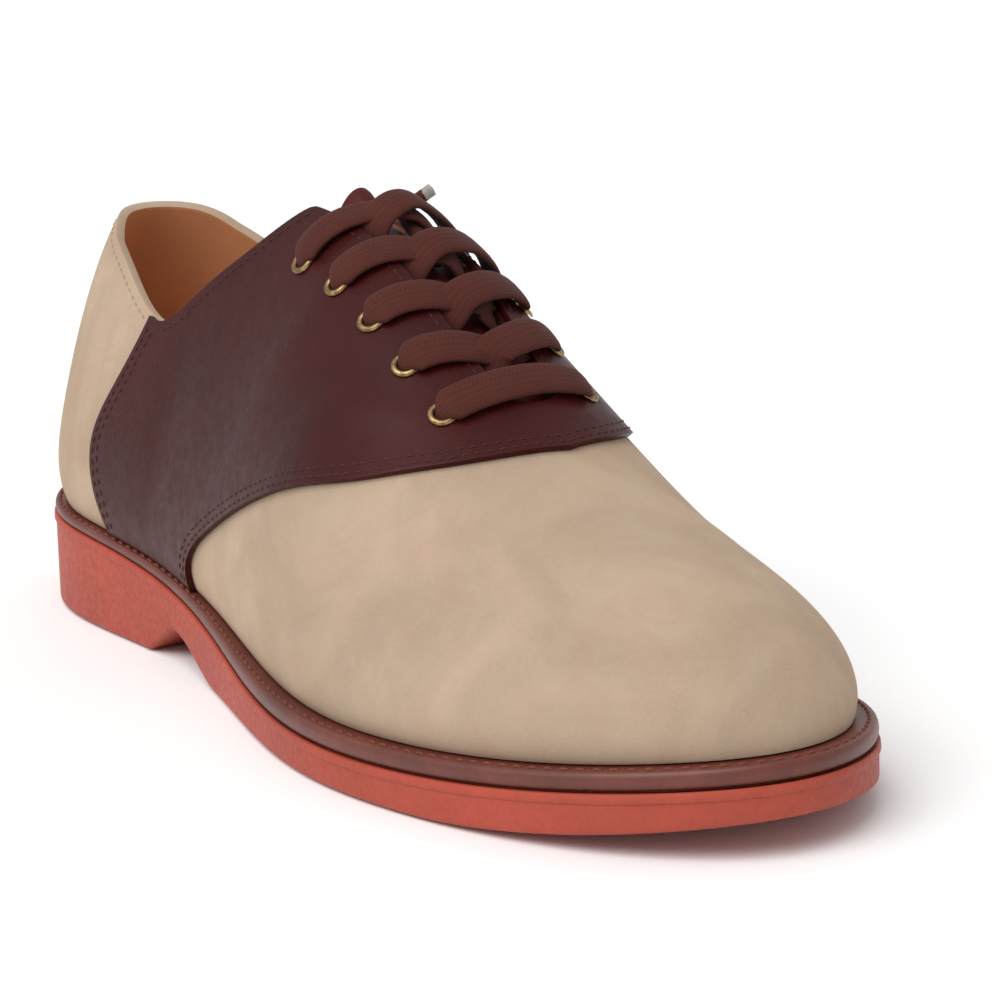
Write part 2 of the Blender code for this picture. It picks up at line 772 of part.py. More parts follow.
def strand_marks(side, number, over):
    """One strand of a crossing: from the middle of the throat up and over to its eyelet."""
    along = eyelet_along(number)
    pitch = eyelet_along(number + 1) - along
    low, high = lace_levels()
    eyelet = eyelet_from_ridge(side, along)
    inside_gap = 0.80 * facing_gap(along + 0.42 * pitch)
    middle = low + (LACE_THICKNESS * 0.8 if over else 0.0)
    start = middle - LACE_THICKNESS * (0.2 if over else 0.4)
    return (
        (-side * inside_gap, along + 0.42 * pitch, start),
        (side * 0.05 * eyelet, along + 0.34 * pitch, middle),
        (side * 0.45 * eyelet, along + 0.20 * pitch, high + LACE_THICKNESS * (0.55 if over else 0.1)),
        (side * 0.80 * eyelet, along + 0.06 * pitch, high + LACE_THICKNESS * 0.1),
        (side * 1.02 * eyelet, along, high),
    )


def lace_levels():
    """Lift of a lace's middle over the last's surface: in the gap, and clear of the eyelets."""
    over_eyelet = CLEARANCE + SADDLE_THICKNESS + CLEARANCE + EYELET_LIFT + CLEARANCE + LACE_THICKNESS / 2
    return over_eyelet - LACE_THICKNESS * 0.3, over_eyelet + CLEARANCE


def make_laces(collection, cutters, cloth):
    """The bar over the lowest eyelets and a crossing of two strands for each pair above it."""
    bottom = EYELET_PAIRS - 1
    high = lace_levels()[1]
    reach = {side: eyelet_from_ridge(side, EYELET_LAST) for side in (1, -1)}
    marks = [(share * reach[1 if share > 0 else -1], EYELET_LAST, high + LACE_THICKNESS * 0.25 * (1 - share ** 2))
             for share in (-1.02, -0.6, -0.2, 0.2, 0.6, 1.02)]
    ribbon("lace_bar", lace_path(marks, 12), collection, cloth)
    for number in range(bottom):
        under = ribbon(f"lace_crossing_{number + 1}", lace_path(strand_marks(1, number, False), 8),
                       collection, cloth)
        over = ribbon(f"strand_{number + 1}", lace_path(strand_marks(-1, number, True), 8), cutters, cloth)
        cut(under, over, "UNION")


def make_lace_end(collection, cloth):
    """The lace's loose end: tucked along the tongue under the crossings, its tip out behind the top one."""
    marks = [(across * MM, along, lift * MM) for across, along, lift in LACE_END_ROUTE]
    path = lace_path(marks, 16)
    curve = bpy.data.curves.new("lace_end", "CURVE")
    curve.dimensions = "3D"
    curve.bevel_depth = LACE_END_DIAMETER / 2
    curve.bevel_resolution = 2
    curve.use_fill_caps = True
    line = curve.splines.new("POLY")
    line.points.add(len(path) - 1)
    for point, (place, _) in zip(line.points, path):
        point.co = (*place, 1.0)
    curve.materials.append(cloth)
    collection.objects.link(bpy.data.objects.new("lace_end", curve))


def main():
    clear_scene()
    shoe = new_collection(COLLECTION)
    cutters = new_collection("cutters")
    make_outsole(shoe)
    make_welt(shoe)
    make_insole(shoe)
    upper = make_upper(shoe)
    saddle = make_saddle(shoe, cutters)
    make_eyelets(shoe, cutters, upper, saddle)
    make_tongue(shoe)
    cloth = new_material("lace_cloth", (0.07, 0.022, 0.018), 0.9)
    make_laces(shoe, cutters, cloth)
    make_lace_end(shoe, cloth)


main()
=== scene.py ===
"""The finish of a plain-toe saddle oxford for the right foot: leathers, seams, lining, laces and sole.

Each operator makes one piece, or one group of like pieces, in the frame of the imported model: metres, +X to
the outer side, +Y to the toe, +Z up, the sole on Z = 0.
"""

from math import cos, pi, radians, sin

import bmesh
import bpy
import numpy as np
from bpy.props import FloatProperty, FloatVectorProperty, IntProperty, PointerProperty
from mathutils import Matrix, Vector


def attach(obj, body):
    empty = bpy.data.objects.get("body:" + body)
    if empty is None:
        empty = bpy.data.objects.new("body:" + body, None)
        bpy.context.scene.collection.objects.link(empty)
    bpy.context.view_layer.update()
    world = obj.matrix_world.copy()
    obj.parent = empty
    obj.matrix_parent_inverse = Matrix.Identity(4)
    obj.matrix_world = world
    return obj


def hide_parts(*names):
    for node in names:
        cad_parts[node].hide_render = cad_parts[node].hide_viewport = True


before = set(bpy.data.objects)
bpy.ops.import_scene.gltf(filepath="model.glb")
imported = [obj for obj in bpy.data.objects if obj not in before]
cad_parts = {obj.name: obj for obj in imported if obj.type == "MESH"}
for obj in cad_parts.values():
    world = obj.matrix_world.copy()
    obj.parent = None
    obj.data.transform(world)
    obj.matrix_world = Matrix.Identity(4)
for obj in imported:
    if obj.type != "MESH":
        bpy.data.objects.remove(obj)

bl_info = {
    "name": "Saddle Oxford",
    "version": (1, 0, 0),
    "blender": (4, 5, 0),
    "location": "3D View > Sidebar > Shoe",
    "description": "Makes the finished pieces of a saddle oxford, one by one",
    "category": "Object",
}

MM = 0.001

# The lace where it is gathered into an eyelet and where it is pressed under a facing
GATHERED_WIDTH = 3.1 * MM
GATHERED_THICKNESS = 2.7 * MM
GATHER_START, GATHER_END = 4.5 * MM, 9.0 * MM
PRESSED_THICKNESS = 0.8 * MM
PRESS_START, PRESS_END = 3.5 * MM, 7.5 * MM
LACE_OVER_SADDLE = 0.4 * MM

# The grey tip at the lace's end, the tongue's crown and the eyelets' crown
TIP_LENGTH = 3.2 * MM
TONGUE_CROWN = 5.5 * MM
TONGUE_CROWN_HALF_WIDTH = 10 * MM
TONGUE_BELOW_WALL = 0.95 * MM
TONGUE_LEAN = 1.5 * MM
EYELET_CROWN = 0.7 * MM

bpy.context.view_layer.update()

# Half widths of the last's edge from its long axis, as shares of the ball width
OUTLINE = (
    # along, outer, inner
    (0.00, 0.000, 0.000),
    (0.05, 0.238, 0.238),
    (0.12, 0.325, 0.325),
    (0.20, 0.339, 0.332),
    (0.30, 0.338, 0.308),
    (0.40, 0.374, 0.285),
    (0.50, 0.444, 0.310),
    (0.60, 0.510, 0.395),
    (0.68, 0.530, 0.455),
    (0.76, 0.502, 0.466),
    (0.84, 0.436, 0.436),
    (0.91, 0.342, 0.358),
    (0.96, 0.232, 0.246),
    (1.00, 0.000, 0.000),
)

# Height of the last's edge over the floor, as a share of the heel height
SEAT = (
    # along, height
    (0.00, 1.00),
    (0.10, 0.985),
    (0.20, 0.94),
    (0.30, 0.83),
    (0.40, 0.68),
    (0.50, 0.56),
    (0.60, 0.50),
    (0.68, 0.49),
    (0.78, 0.52),
    (0.88, 0.61),
    (1.00, 0.78),
)

# The last's cross sections: the ridge's height as a share of the instep height, its place toward the inner
# side as a share of the ridge's shift, the swell over the inner waist, and how square the section is
SECTIONS = (
    # along, height, ridge, fullness, across, upward
    (0.00, 0.90, 0.00, 0.00, 2.15, 1.35),
    (0.13, 0.90, 0.05, 0.00, 2.15, 1.45),
    (0.30, 1.00, 0.65, 0.65, 2.15, 1.50),
    (0.40, 1.01, 0.98, 1.00, 2.15, 1.50),
    (0.50, 0.95, 0.82, 1.00, 2.15, 1.60),
    (0.60, 0.775, 0.65, 0.62, 2.12, 1.78),
    (0.70, 0.570, 0.76, 0.20, 2.08, 1.76),
    (0.80, 0.44, 0.80, 0.00, 1.98, 1.74),
    (0.90, 0.395, 0.65, 0.00, 1.95, 1.74),
    (1.00, 0.375, 0.00, 0.00, 1.95, 1.76),
)

# Height of the collar over the last's edge, as a share of the instep height
COLLAR = (
    # along, height
    (0.00, 0.780),
    (0.05, 0.775),
    (0.12, 0.740),
    (0.18, 0.665),
    (0.235, 0.597),
    (0.265, 0.605),
    (0.31, 0.720),
    (0.36, 0.855),
    (0.40, 0.985),
)

# Underside of the rubber between the breast and the ball, as a share of the rubber at the waist
ARCH = (
    # along, height
    (0.320, 0.98),
    (0.335, 0.91),
    (0.355, 0.70),
    (0.375, 0.42),
    (0.395, 0.17),
    (0.415, 0.02),
    (0.430, 0.00),
)

# Edges of the saddle, against the way up the section from the last's edge to its ridge
SADDLE_FRONT = (
    # way up, along
    (0.00, 0.357),
    (0.08, 0.359),
    (0.14, 0.374),
    (0.20, 0.406),
    (0.28, 0.465),
    (0.35, 0.525),
    (0.46, 0.598),
    (0.60, 0.649),
    (0.80, 0.688),
    (1.00, 0.703),
)
SADDLE_BACK = (
    # way up, along
    (0.00, 0.206),
    (0.06, 0.202),
    (0.17, 0.185),
    (0.23, 0.181),
    (0.29, 0.188),
    (0.35, 0.204),
    (0.44, 0.228),
    (0.50, 0.240),
    (0.60, 0.256),
    (1.00, 0.300),
)

# The lace's loose end, in millimetres from the ridge and over the last: negative across is the inner side
LACE_END_ROUTE = (
    # across, along, lift
    (-1.5, 0.520, -1.2),
    (-2.0, 0.500, -1.2),
    (-2.6, 0.480, -1.2),
    (-3.4, 0.461, -1.1),
    (-4.4, 0.446, -0.6),
    (-5.6, 0.436, 0.8),
    (-6.9, 0.4295, 3.2),
    (-7.7, 0.4275, 5.8),
    (-8.2, 0.428, 8.6),
)

# Soft creases of the leather, placed on the last: troughs are negative, ridges positive
CREASES = (
    # side, along, way up, turn in degrees, half length, half width, height in millimetres
    (1, 0.735, 0.80, 82, 22, 7.0, -0.35),
    (1, 0.770, 0.72, 76, 18, 6.0, 0.22),
    (-1, 0.735, 0.80, 98, 20, 7.0, -0.35),
    (-1, 0.775, 0.70, 100, 16, 6.0, 0.20),
    (1, 0.700, 0.40, 55, 18, 6.5, -0.30),
    (1, 0.520, 0.50, 62, 20, 6.0, -0.35),
    (1, 0.470, 0.55, 66, 20, 5.0, 0.30),
    (1, 0.590, 0.62, 40, 14, 4.5, 0.40),
    (1, 0.300, 0.30, 84, 22, 8.0, -0.40),
    (-1, 0.420, 0.45, 96, 24, 8.0, -0.50),
    (-1, 0.520, 0.55, 110, 18, 6.0, -0.35),
    (1, 0.090, 0.35, 60, 18, 8.0, -0.30),
    (-1, 0.090, 0.35, 120, 18, 8.0, -0.30),
)


def srgb(red, green, blue):
    """A colour given as it shows on a screen, 0 to 255, as the linear numbers that shaders use."""
    shares = (red / 255, green / 255, blue / 255)
    return tuple(c / 12.92 if c <= 0.04045 else ((c + 0.055) / 1.055) ** 2.4 for c in shares)


def length_property(name, description, millimetres):
    return FloatProperty(name=name, description=description, default=millimetres * MM, unit="LENGTH",
                         subtype="DISTANCE", min=0.0, precision=5)


def colour_property(name, description, red, green, blue):
    return FloatVectorProperty(name=name, description=description, default=srgb(red, green, blue),
                               subtype="COLOR", size=3, min=0.0, max=1.0)


class ShoeSizes(bpy.types.PropertyGroup):
    """Sizes of the last, the leathers and the trimmings."""

    last_length: length_property("Last length", "Heel to toe along the last's edge", 292)
    ball_width: length_property("Ball width", "Width of the last at the ball", 94.5)
    instep_height: length_property("Instep height", "Height of the instep over the last's edge", 92)
    heel_height: length_property("Heel height", "Height of the last's edge over the floor at the heel", 25.5)
    swell: length_property("Swell", "How far the sides stand out over the welt", 2.7)
    swell_level: length_property("Swell level", "Height at which the sides stand out most", 16)
    ridge_shift: length_property("Ridge shift", "How far the ridge lies to the inner side", 7)
    waist_fullness: length_property("Waist fullness", "Swell of the inner side over the waist", 8)
    wall: length_property("Wall", "Thickness of upper and lining together", 2.2)
    saddle: length_property("Saddle thickness", "Thickness of the saddle's leather", 1.4)
    tongue: length_property("Tongue thickness", "Thickness of the tongue", 2.0)
    tongue_width: length_property("Tongue width", "Width of the tongue at its top", 50)
    clearance: length_property("Clearance", "Gap between pieces that touch", 0.3)
    gap_top: length_property("Facing gap, top", "Gap between the facings at their tops", 22)
    gap_end: length_property("Facing gap, end", "Gap between the facings at the throat", 12)
    welt_heel: length_property("Welt at heel", "Thickness of the welt at the heel", 2.1)
    welt_toe: length_property("Welt at toe", "Thickness of the welt at the toe", 4.0)
    welt_out_heel: length_property("Welt out, heel", "How far the welt stands out at the heel", 3.0)
    welt_out_toe: length_property("Welt out, toe", "How far the welt stands out at the toe", 5.0)
    waist_rubber: length_property("Rubber at waist", "Rise of the rubber's underside at the waist", 8.0)
    toe_spring: length_property("Toe spring", "Height of the toe's underside over the floor", 8.0)
    eyelets_outer: length_property("Outer eyelets", "From the ridge to the outer eyelets", 20.3)
    eyelets_inner_top: length_property("Inner eyelets, top", "From the ridge to the inner row at the top", 18)
    eyelets_inner_end: length_property("Inner eyelets, end", "From the ridge to the inner row's end", 15)
    eyelet_hole: length_property("Eyelet hole", "Width of an eyelet's hole", 3.6)
    eyelet_flange: length_property("Eyelet flange", "Width of an eyelet's flange", 6.6)
    lace_width: length_property("Lace width", "Width of the flat lace", 9.2)
    lace_thickness: length_property("Lace thickness", "Thickness of the flat lace", 2.2)
    lace_end: length_property("Lace end", "Thickness of the lace's gathered end", 3.0)
    stitch: length_property("Stitch", "Length of a stitch in the upper", 1.9)
    stitch_gap: length_property("Stitch gap", "Gap between stitches", 0.8)
    thread: length_property("Thread", "Thickness of the upper's thread", 0.45)
    welt_stitch: length_property("Welt stitch", "Length of a stitch in the welt", 2.6)
    eyelet_pairs: IntProperty(name="Eyelet pairs", description="Number of eyelet pairs", default=5, min=2)


class ShoeColours(bpy.types.PropertyGroup):
    """Colours of the leathers and trimmings."""

    nubuck: colour_property("Nubuck", "Vamp and counter", 177, 155, 133)
    saddle: colour_property("Saddle", "Saddle's leather", 58, 16, 14)
    lining: colour_property("Lining", "Lining leather", 238, 168, 118)
    tongue: colour_property("Tongue", "Tongue's leather", 82, 26, 25)
    lace: colour_property("Lace", "Lace cloth", 76, 36, 29)
    thread: colour_property("Thread", "Thread of the upper", 62, 24, 22)
    brass: colour_property("Eyelets", "Eyelet metal", 170, 140, 100)
    welt: colour_property("Welt", "Welt leather", 104, 48, 36)
    rubber: colour_property("Rubber", "Sole", 168, 68, 49)


def natural_cubic(xs, ys):
    """The smooth function through the points, for arrays, held level past both ends."""
    xs, ys = np.asarray(xs, dtype=float), np.asarray(ys, dtype=float)
    step = np.diff(xs)
    slope = np.diff(ys) / step
    count = len(xs)
    system = np.eye(count)
    bend = np.zeros(count)
    for i in range(1, count - 1):
        system[i, i - 1:i + 2] = step[i - 1], 2 * (step[i - 1] + step[i]), step[i]
        bend[i] = 6 * (slope[i] - slope[i - 1])
    bend = np.linalg.solve(system, bend)

    def value(x):
        x = np.clip(np.asarray(x, dtype=float), xs[0], xs[-1])
        i = np.clip(np.searchsorted(xs, x) - 1, 0, count - 2)
        before, after, width = x - xs[i], xs[i + 1] - x, step[i]
        curved = (bend[i] * after ** 3 + bend[i + 1] * before ** 3) / (6 * width)
        start = (ys[i] / width - bend[i] * width / 6) * after
        end = (ys[i + 1] / width - bend[i + 1] * width / 6) * before
        return curved + start + end

    return value


def column(rows, number):
    return natural_cubic([row[0] for row in rows], [row[number] for row in rows])


def turn(along):
    return np.arccos(1 - 2 * np.clip(along, 0, 1)) / pi


def blend(x, start, end):
    x = np.clip((x - start) / (end - start), 0, 1)
    return x * x * (3 - 2 * x)


class Last:
    """The form that every piece is laid on; its methods take arrays and work in the shoe's own frame."""

    heel_centre = 0.13
    toe_start = 0.78
    toe_fullness = 1.9
    throat_top = 0.400
    throat_end = 0.660
    throat_rounding = 0.012
    breast = 0.272
    breast_slope = 0.048
    ball_flat_end = 0.78
    first_eyelet = 0.438
    last_eyelet = 0.643
    lip_out = 0.5 * MM

    def __init__(self, sizes):
        self.sizes = sizes
        self.length = sizes.last_length
        turned = [turn(row[0]) for row in OUTLINE]
        self.outer = natural_cubic(turned, [row[1] for row in OUTLINE])
        self.inner = natural_cubic(turned, [row[2] for row in OUTLINE])
        self.seat = column(SEAT, 1)
        self.height, self.shift, self.fullness = (column(SECTIONS, i) for i in range(1, 4))
        self.across, self.upward = column(SECTIONS, 4), column(SECTIONS, 5)
        self.collar = column(COLLAR, 1)
        self.arch = column(ARCH, 1)
        self.front_edge = column(SADDLE_FRONT, 1)
        self.back_edge = column(SADDLE_BACK, 1)
        self.middle = np.zeros(2)
        sole = np.vstack(self.edge(stations(80), lambda s: self.welt_out(s) + self.lip_out))
        self.middle = (sole.max(axis=0) + sole.min(axis=0)) / 2

    def half_width(self, side, along):
        share = np.where(side > 0, self.outer(turn(along)), self.inner(turn(along)))
        return self.sizes.ball_width * share

    def edge_height(self, along):
        return self.sizes.heel_height * self.seat(along)

    def ridge_height(self, along):
        into_toe = np.clip((along - self.toe_start) / (1 - self.toe_start), 0, 1)
        rounding = (1 - into_toe ** self.toe_fullness) ** (1 / self.toe_fullness)
        return self.sizes.instep_height * self.height(along) * rounding

    def ridge_x(self, along):
        return -self.sizes.ridge_shift * self.shift(along)

    def welt_thickness(self, along):
        return self.sizes.welt_heel + (self.sizes.welt_toe - self.sizes.welt_heel) * blend(along, 0.15, 0.60)

    def welt_out(self, along):
        span = self.sizes.welt_out_toe - self.sizes.welt_out_heel
        return self.sizes.welt_out_heel + span * blend(along, 0.30, 0.65)

    def rubber_top(self, along):
        return self.edge_height(along) - self.welt_thickness(along) - self.sizes.clearance

    def underside(self, along):
        """Height of the rubber's underside: flat heel, breast, waist, flat ball and the toe's spring."""
        rising = np.clip((along - self.breast) / self.breast_slope, 0, 1)
        waist = np.maximum(self.sizes.waist_rubber * self.arch(along), 0) * rising
        into_toe = np.clip((along - self.ball_flat_end) / (1 - self.ball_flat_end), 0, 1)
        spring = self.sizes.toe_spring * into_toe ** 1.7
        ahead = np.where(along <= self.ball_flat_end, waist, spring)
        return np.where(along <= self.breast + 1e-6, 0.0, ahead)

    def edge(self, along, out):
        """The last's edge moved outward by out(along): its outer and its inner side, as (n, 2)."""
        outer = np.stack([self.half_width(1, along), self.length * along], axis=1)
        inner = np.stack([-self.half_width(-1, along), self.length * along], axis=1)
        loop = np.vstack([outer, inner[-2:0:-1]])
        travel = np.roll(loop, -1, axis=0) - np.roll(loop, 1, axis=0)
        normal = np.stack([travel[:, 1], -travel[:, 0]], axis=1)
        normal /= np.linalg.norm(normal, axis=1)[:, None]
        moved = loop + normal * np.asarray(out(loop[:, 1] / self.length))[..., None] - self.middle
        count = len(along)
        return moved[:count], np.vstack([moved[:1], moved[:count - 2:-1]])

    def point(self, side, along, angle):
        """The last's surface: angle runs from 0 at its edge to a quarter turn at its ridge."""
        sizes = self.sizes
        y = self.length * along
        core_x, core_y = self.ridge_x(along), np.maximum(y, self.length * self.heel_centre)
        reach_x, reach_y = side * self.half_width(side, along) - core_x, y - core_y
        reach = np.maximum(np.hypot(reach_x, reach_y), 1e-9)
        rise = self.ridge_height(along) * np.maximum(np.sin(angle), 0) ** (2 / self.upward(along))
        share = np.maximum(np.cos(angle), 0) ** (2 / self.across(along))
        level = rise / sizes.swell_level
        swell = sizes.swell * level * np.exp(1 - level) * np.minimum(reach / sizes.ball_width * 4, 1)
        waist = sizes.waist_fullness * np.maximum(self.fullness(along), 0) * np.sin(2 * angle) ** 2
        swell = swell + np.where(side < 0, waist, 0)
        stretch = share + swell * np.minimum(share * 4, 1) / reach
        x = core_x + reach_x * stretch - self.middle[0]
        y = core_y + reach_y * stretch - self.middle[1]
        return np.stack(np.broadcast_arrays(x, y, self.edge_height(along) + sizes.clearance + rise), axis=-1)

    def normal(self, side, along, angle):
        """The direction straight out of the surface."""
        step = 0.003
        forward = self.point(side, along + step, angle) - self.point(side, along - step, angle)
        upward = self.point(side, along, np.minimum(angle + step, pi / 2)) \
            - self.point(side, along, np.maximum(angle - step, 0))
        at_ridge = np.asarray(angle > pi / 2 - step)[..., None]
        level = np.stack(np.broadcast_arrays(-np.asarray(side, dtype=float), 0.0, 0.0), axis=-1)
        upward = np.where(at_ridge, level, upward)
        out = np.cross(forward, upward) * np.asarray(side)[..., None]
        return out / np.maximum(np.linalg.norm(out, axis=-1)[..., None], 1e-12)

    def angle_at_height(self, along, height):
        share = np.clip(height / np.maximum(self.ridge_height(along), 1e-9), 0, 1)
        return np.arcsin(share ** (self.upward(along) / 2))

    def angle_at(self, side, along, distance):
        """The angle at which the surface is this far across from the ridge, found by halving."""
        ridge = self.ridge_x(along) - self.middle[0]
        low = np.broadcast_to(0.35, np.broadcast(side, along, distance).shape).copy()
        high = np.full_like(low, pi / 2)
        for _ in range(30):
            middle = (low + high) / 2
            too_far = np.abs(self.point(side, along, middle)[..., 0] - ridge) > distance
            low = np.where(too_far, middle, low)
            high = np.where(too_far, high, middle)
        return (low + high) / 2

    def facing_gap(self, along):
        """Half the gap between the facings, with a rounded end at the throat."""
        share = (along - self.throat_top) / (self.throat_end - self.throat_top)
        half = (self.sizes.gap_top + (self.sizes.gap_end - self.sizes.gap_top) * share) / 2
        into_end = (along - (self.throat_end - self.throat_rounding)) / self.throat_rounding
        return half * np.sqrt(np.clip(1 - np.maximum(into_end, 0) ** 2, 0, 1))

    def rib_end(self, side, along):
        """The angle at which the upper ends: at the collar or at the facing's edge, its corner rounded."""
        collar = self.angle_at_height(along, self.sizes.instep_height * self.collar(along))
        facing = self.angle_at(side, along, self.facing_gap(np.maximum(along, 0.32)))
        facing = np.where((along >= self.throat_end - 1e-6) | (along < 0.33), pi / 2, facing)
        beyond = np.clip((along - self.throat_top) / 0.02, 0, 1)
        collar = collar + (pi / 2 - collar + 0.2) * beyond
        soft = 0.022
        both = -soft * np.log(np.exp(-collar / soft) + np.exp(-facing / soft))
        near = blend(along, 0.33, 0.36) * (1 - blend(along, 0.43, 0.45))
        lower = np.minimum(collar, facing)
        return np.where(near > 0, both * near + lower * (1 - near), lower)

    def eyelets(self):
        """Shares of the length at the eyelet pairs, evenly spaced on the instep, from the top."""
        shares = np.linspace(self.first_eyelet, self.last_eyelet, 41)
        heights = self.edge_height(shares) + self.ridge_height(shares)
        steps = np.hypot(np.diff(shares) * self.length, np.diff(heights))
        travelled = np.concatenate([[0], np.cumsum(steps)])
        return np.interp(np.linspace(0, travelled[-1], self.sizes.eyelet_pairs), travelled, shares)

    def eyelet_distance(self, side, along):
        """Distance of the eyelets from the ridge; the inner row closes in toward the throat's end."""
        sizes = self.sizes
        share = (along - self.first_eyelet) / (self.last_eyelet - self.first_eyelet)
        inner = sizes.eyelets_inner_top + (sizes.eyelets_inner_end - sizes.eyelets_inner_top) * share
        return sizes.eyelets_outer if side > 0 else inner

    def relief(self, side, along, angle):
        """Height of the soft creases."""
        height = np.zeros(np.broadcast(side, along, angle).shape)
        girth = 110 * MM
        for which, at, up, degrees, half_length, half_width, rise in CREASES:
            forward = (along - at) * self.length
            way_up = angle / (pi / 2)
            upward = (np.where(side == which, way_up, 2 - way_up) - up) * girth
            c, s = cos(radians(degrees)), sin(radians(degrees))
            lengthwise, across = forward * c + upward * s, upward * c - forward * s
            shape = np.exp(-(across / (half_width * MM)) ** 2 - (lengthwise / (half_length * MM)) ** 2)
            height += rise * MM * shape
        return height

    def laid(self, side, along, angle, lift=0.0):
        """A point on the creased surface, lifted straight out."""
        lift = np.asarray(lift) + self.relief(side, along, angle)
        return self.point(side, along, angle) + self.normal(side, along, angle) * lift[..., None]


def stations(count, special=()):
    """Shares of the length, close together at heel and toe, with the special ones among them."""
    even = (1 - np.cos(np.linspace(0, pi, count + 1))) / 2
    special = np.asarray(special, dtype=float)
    if len(special):
        even = even[np.abs(even[:, None] - special).min(axis=1) > 0.0012]
    return np.sort(np.concatenate([even, special]))


def the_last():
    return Last(bpy.context.scene.shoe_sizes)


def the_colours():
    return bpy.context.scene.shoe_colours


def deselect():
    for thing in bpy.context.selected_objects:
        thing.select_set(False)


def edit(thing, steps):
    """Run mesh operators in edit mode on everything in the piece."""
    deselect()
    bpy.context.view_layer.objects.active = thing
    thing.select_set(True)
    bpy.ops.object.mode_set(mode="EDIT")
    bpy.ops.mesh.select_all(action="SELECT")
    steps()
    bpy.ops.object.mode_set(mode="OBJECT")


def apply_modifier(thing, kind, **settings):
    """Add a modifier with these settings and apply it."""
    deselect()
    bpy.context.view_layer.objects.active = thing
    thing.select_set(True)
    bpy.ops.object.modifier_add(type=kind)
    modifier = thing.modifiers[-1]
    for key, value in settings.items():
        setattr(modifier, key, value)
    bpy.ops.object.modifier_apply(modifier=modifier.name)


def round_edges(thing, width, segments):
    """Bevel the sharp edges and apply it."""
    apply_modifier(thing, "BEVEL", width=width, segments=segments, limit_method="ANGLE",
                   angle_limit=radians(60))


def lay_grid(name, columns, rows, place, close=True):
    """A grid primitive whose points are laid by place(column numbers, row numbers), then welded."""
    deselect()
    bpy.ops.mesh.primitive_grid_add(x_subdivisions=columns, y_subdivisions=rows, size=2.0)
    piece = bpy.context.object
    piece.name = piece.data.name = name
    flat = np.empty(len(piece.data.vertices) * 3)
    piece.data.vertices.foreach_get("co", flat)
    flat = flat.reshape(-1, 3)
    i = np.rint((flat[:, 0] + 1) / 2 * columns).astype(int)
    j = np.rint((flat[:, 1] + 1) / 2 * rows).astype(int)
    piece.data.vertices.foreach_set("co", np.ascontiguousarray(place(i, j)).ravel())
    piece.data.update()
    if close:
        edit(piece, weld)
    return piece


def weld():
    bpy.ops.mesh.remove_doubles(threshold=1e-5)
    bpy.ops.mesh.normals_make_consistent(inside=False)


def face_out(piece, inside):
    """Flip an open skin whose faces look at the point inside."""
    mesh = piece.data
    count = len(mesh.polygons)
    centres, normals, areas = np.empty(count * 3), np.empty(count * 3), np.empty(count)
    mesh.polygons.foreach_get("center", centres)
    mesh.polygons.foreach_get("normal", normals)
    mesh.polygons.foreach_get("area", areas)
    outward = ((centres.reshape(-1, 3) - inside) * normals.reshape(-1, 3)).sum(axis=1)
    if (outward * areas).sum() < 0:
        mesh.flip_normals()


def finish_piece(piece, materials, slot, *nodes, smooth=180):
    """Shade, dress and hang a piece on the shoe's body in place of its nodes."""
    deselect()
    bpy.context.view_layer.objects.active = piece
    piece.select_set(True)
    bpy.ops.object.shade_smooth()
    if smooth < 180:
        bpy.ops.object.shade_smooth_by_angle(angle=radians(smooth))
    for material in materials:
        piece.data.materials.append(material)
    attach(piece, "root")
    if nodes:
        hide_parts(*nodes)
    return piece


class Finish:
    """A material under construction."""

    def __init__(self, name, **sockets):
        self.material = bpy.data.materials.new(name)
        self.material.use_nodes = True
        self.tree = self.material.node_tree
        self.shader = self.tree.nodes["Principled BSDF"]
        for socket, value in sockets.items():
            self.shader.inputs[socket.replace("_", " ").title().replace("Ior", "IOR")].default_value = value
        self.coordinates = self.tree.nodes.new("ShaderNodeTexCoord")

    def node(self, kind, inputs=(), **settings):
        made = self.tree.nodes.new(f"ShaderNode{kind}")
        for key, value in settings.items():
            setattr(made, key, value)
        for key, value in dict(inputs).items():
            if isinstance(value, bpy.types.NodeSocket):
                self.tree.links.new(value, made.inputs[key])
            else:
                made.inputs[key].default_value = value
        return made

    def noise(self, scale, detail=3.0, roughness=0.5, distortion=0.0, vector=None, stretch=None):
        vector = vector or self.coordinates.outputs["Object"]
        if stretch:
            vector = self.node("Mapping", {"Vector": vector, "Scale": stretch}).outputs["Vector"]
        return self.node("TexNoise", {"Vector": vector, "Scale": scale, "Detail": detail,
                                      "Roughness": roughness, "Distortion": distortion}).outputs["Fac"]

    def cells(self, scale, feature="F1", vector=None):
        vector = vector or self.coordinates.outputs["Object"]
        made = self.node("TexVoronoi", {"Vector": vector, "Scale": scale}, feature=feature)
        return made.outputs["Distance"]

    def span(self, value, low, high, to_low=0.0, to_high=1.0):
        return self.node("MapRange", {"Value": value, "From Min": low, "From Max": high,
                                      "To Min": to_low, "To Max": to_high}).outputs["Result"]

    def mix(self, share, first, second, blend_type="MIX"):
        made = self.node("Mix", data_type="RGBA", blend_type=blend_type)
        for key, value in ((0, share), (6, first), (7, second)):
            if isinstance(value, bpy.types.NodeSocket):
                self.tree.links.new(value, made.inputs[key])
            else:
                made.inputs[key].default_value = value if key == 0 else (*value[:3], 1.0)
        return made.outputs[2]

    def maths(self, operation, first, second=0.5):
        return self.node("Math", {0: first, 1: second}, operation=operation).outputs["Value"]

    def bump(self, height, distance, strength=1.0, normal=None):
        inputs = {"Height": height, "Distance": distance, "Strength": strength}
        if normal is not None:
            inputs["Normal"] = normal
        return self.node("Bump", inputs).outputs["Normal"]

    def set(self, **sockets):
        for socket, value in sockets.items():
            self.tree.links.new(value, self.shader.inputs[socket.replace("_", " ").title()])


def shade(colour, factor):
    return tuple(min(c * factor, 1.0) for c in colour)


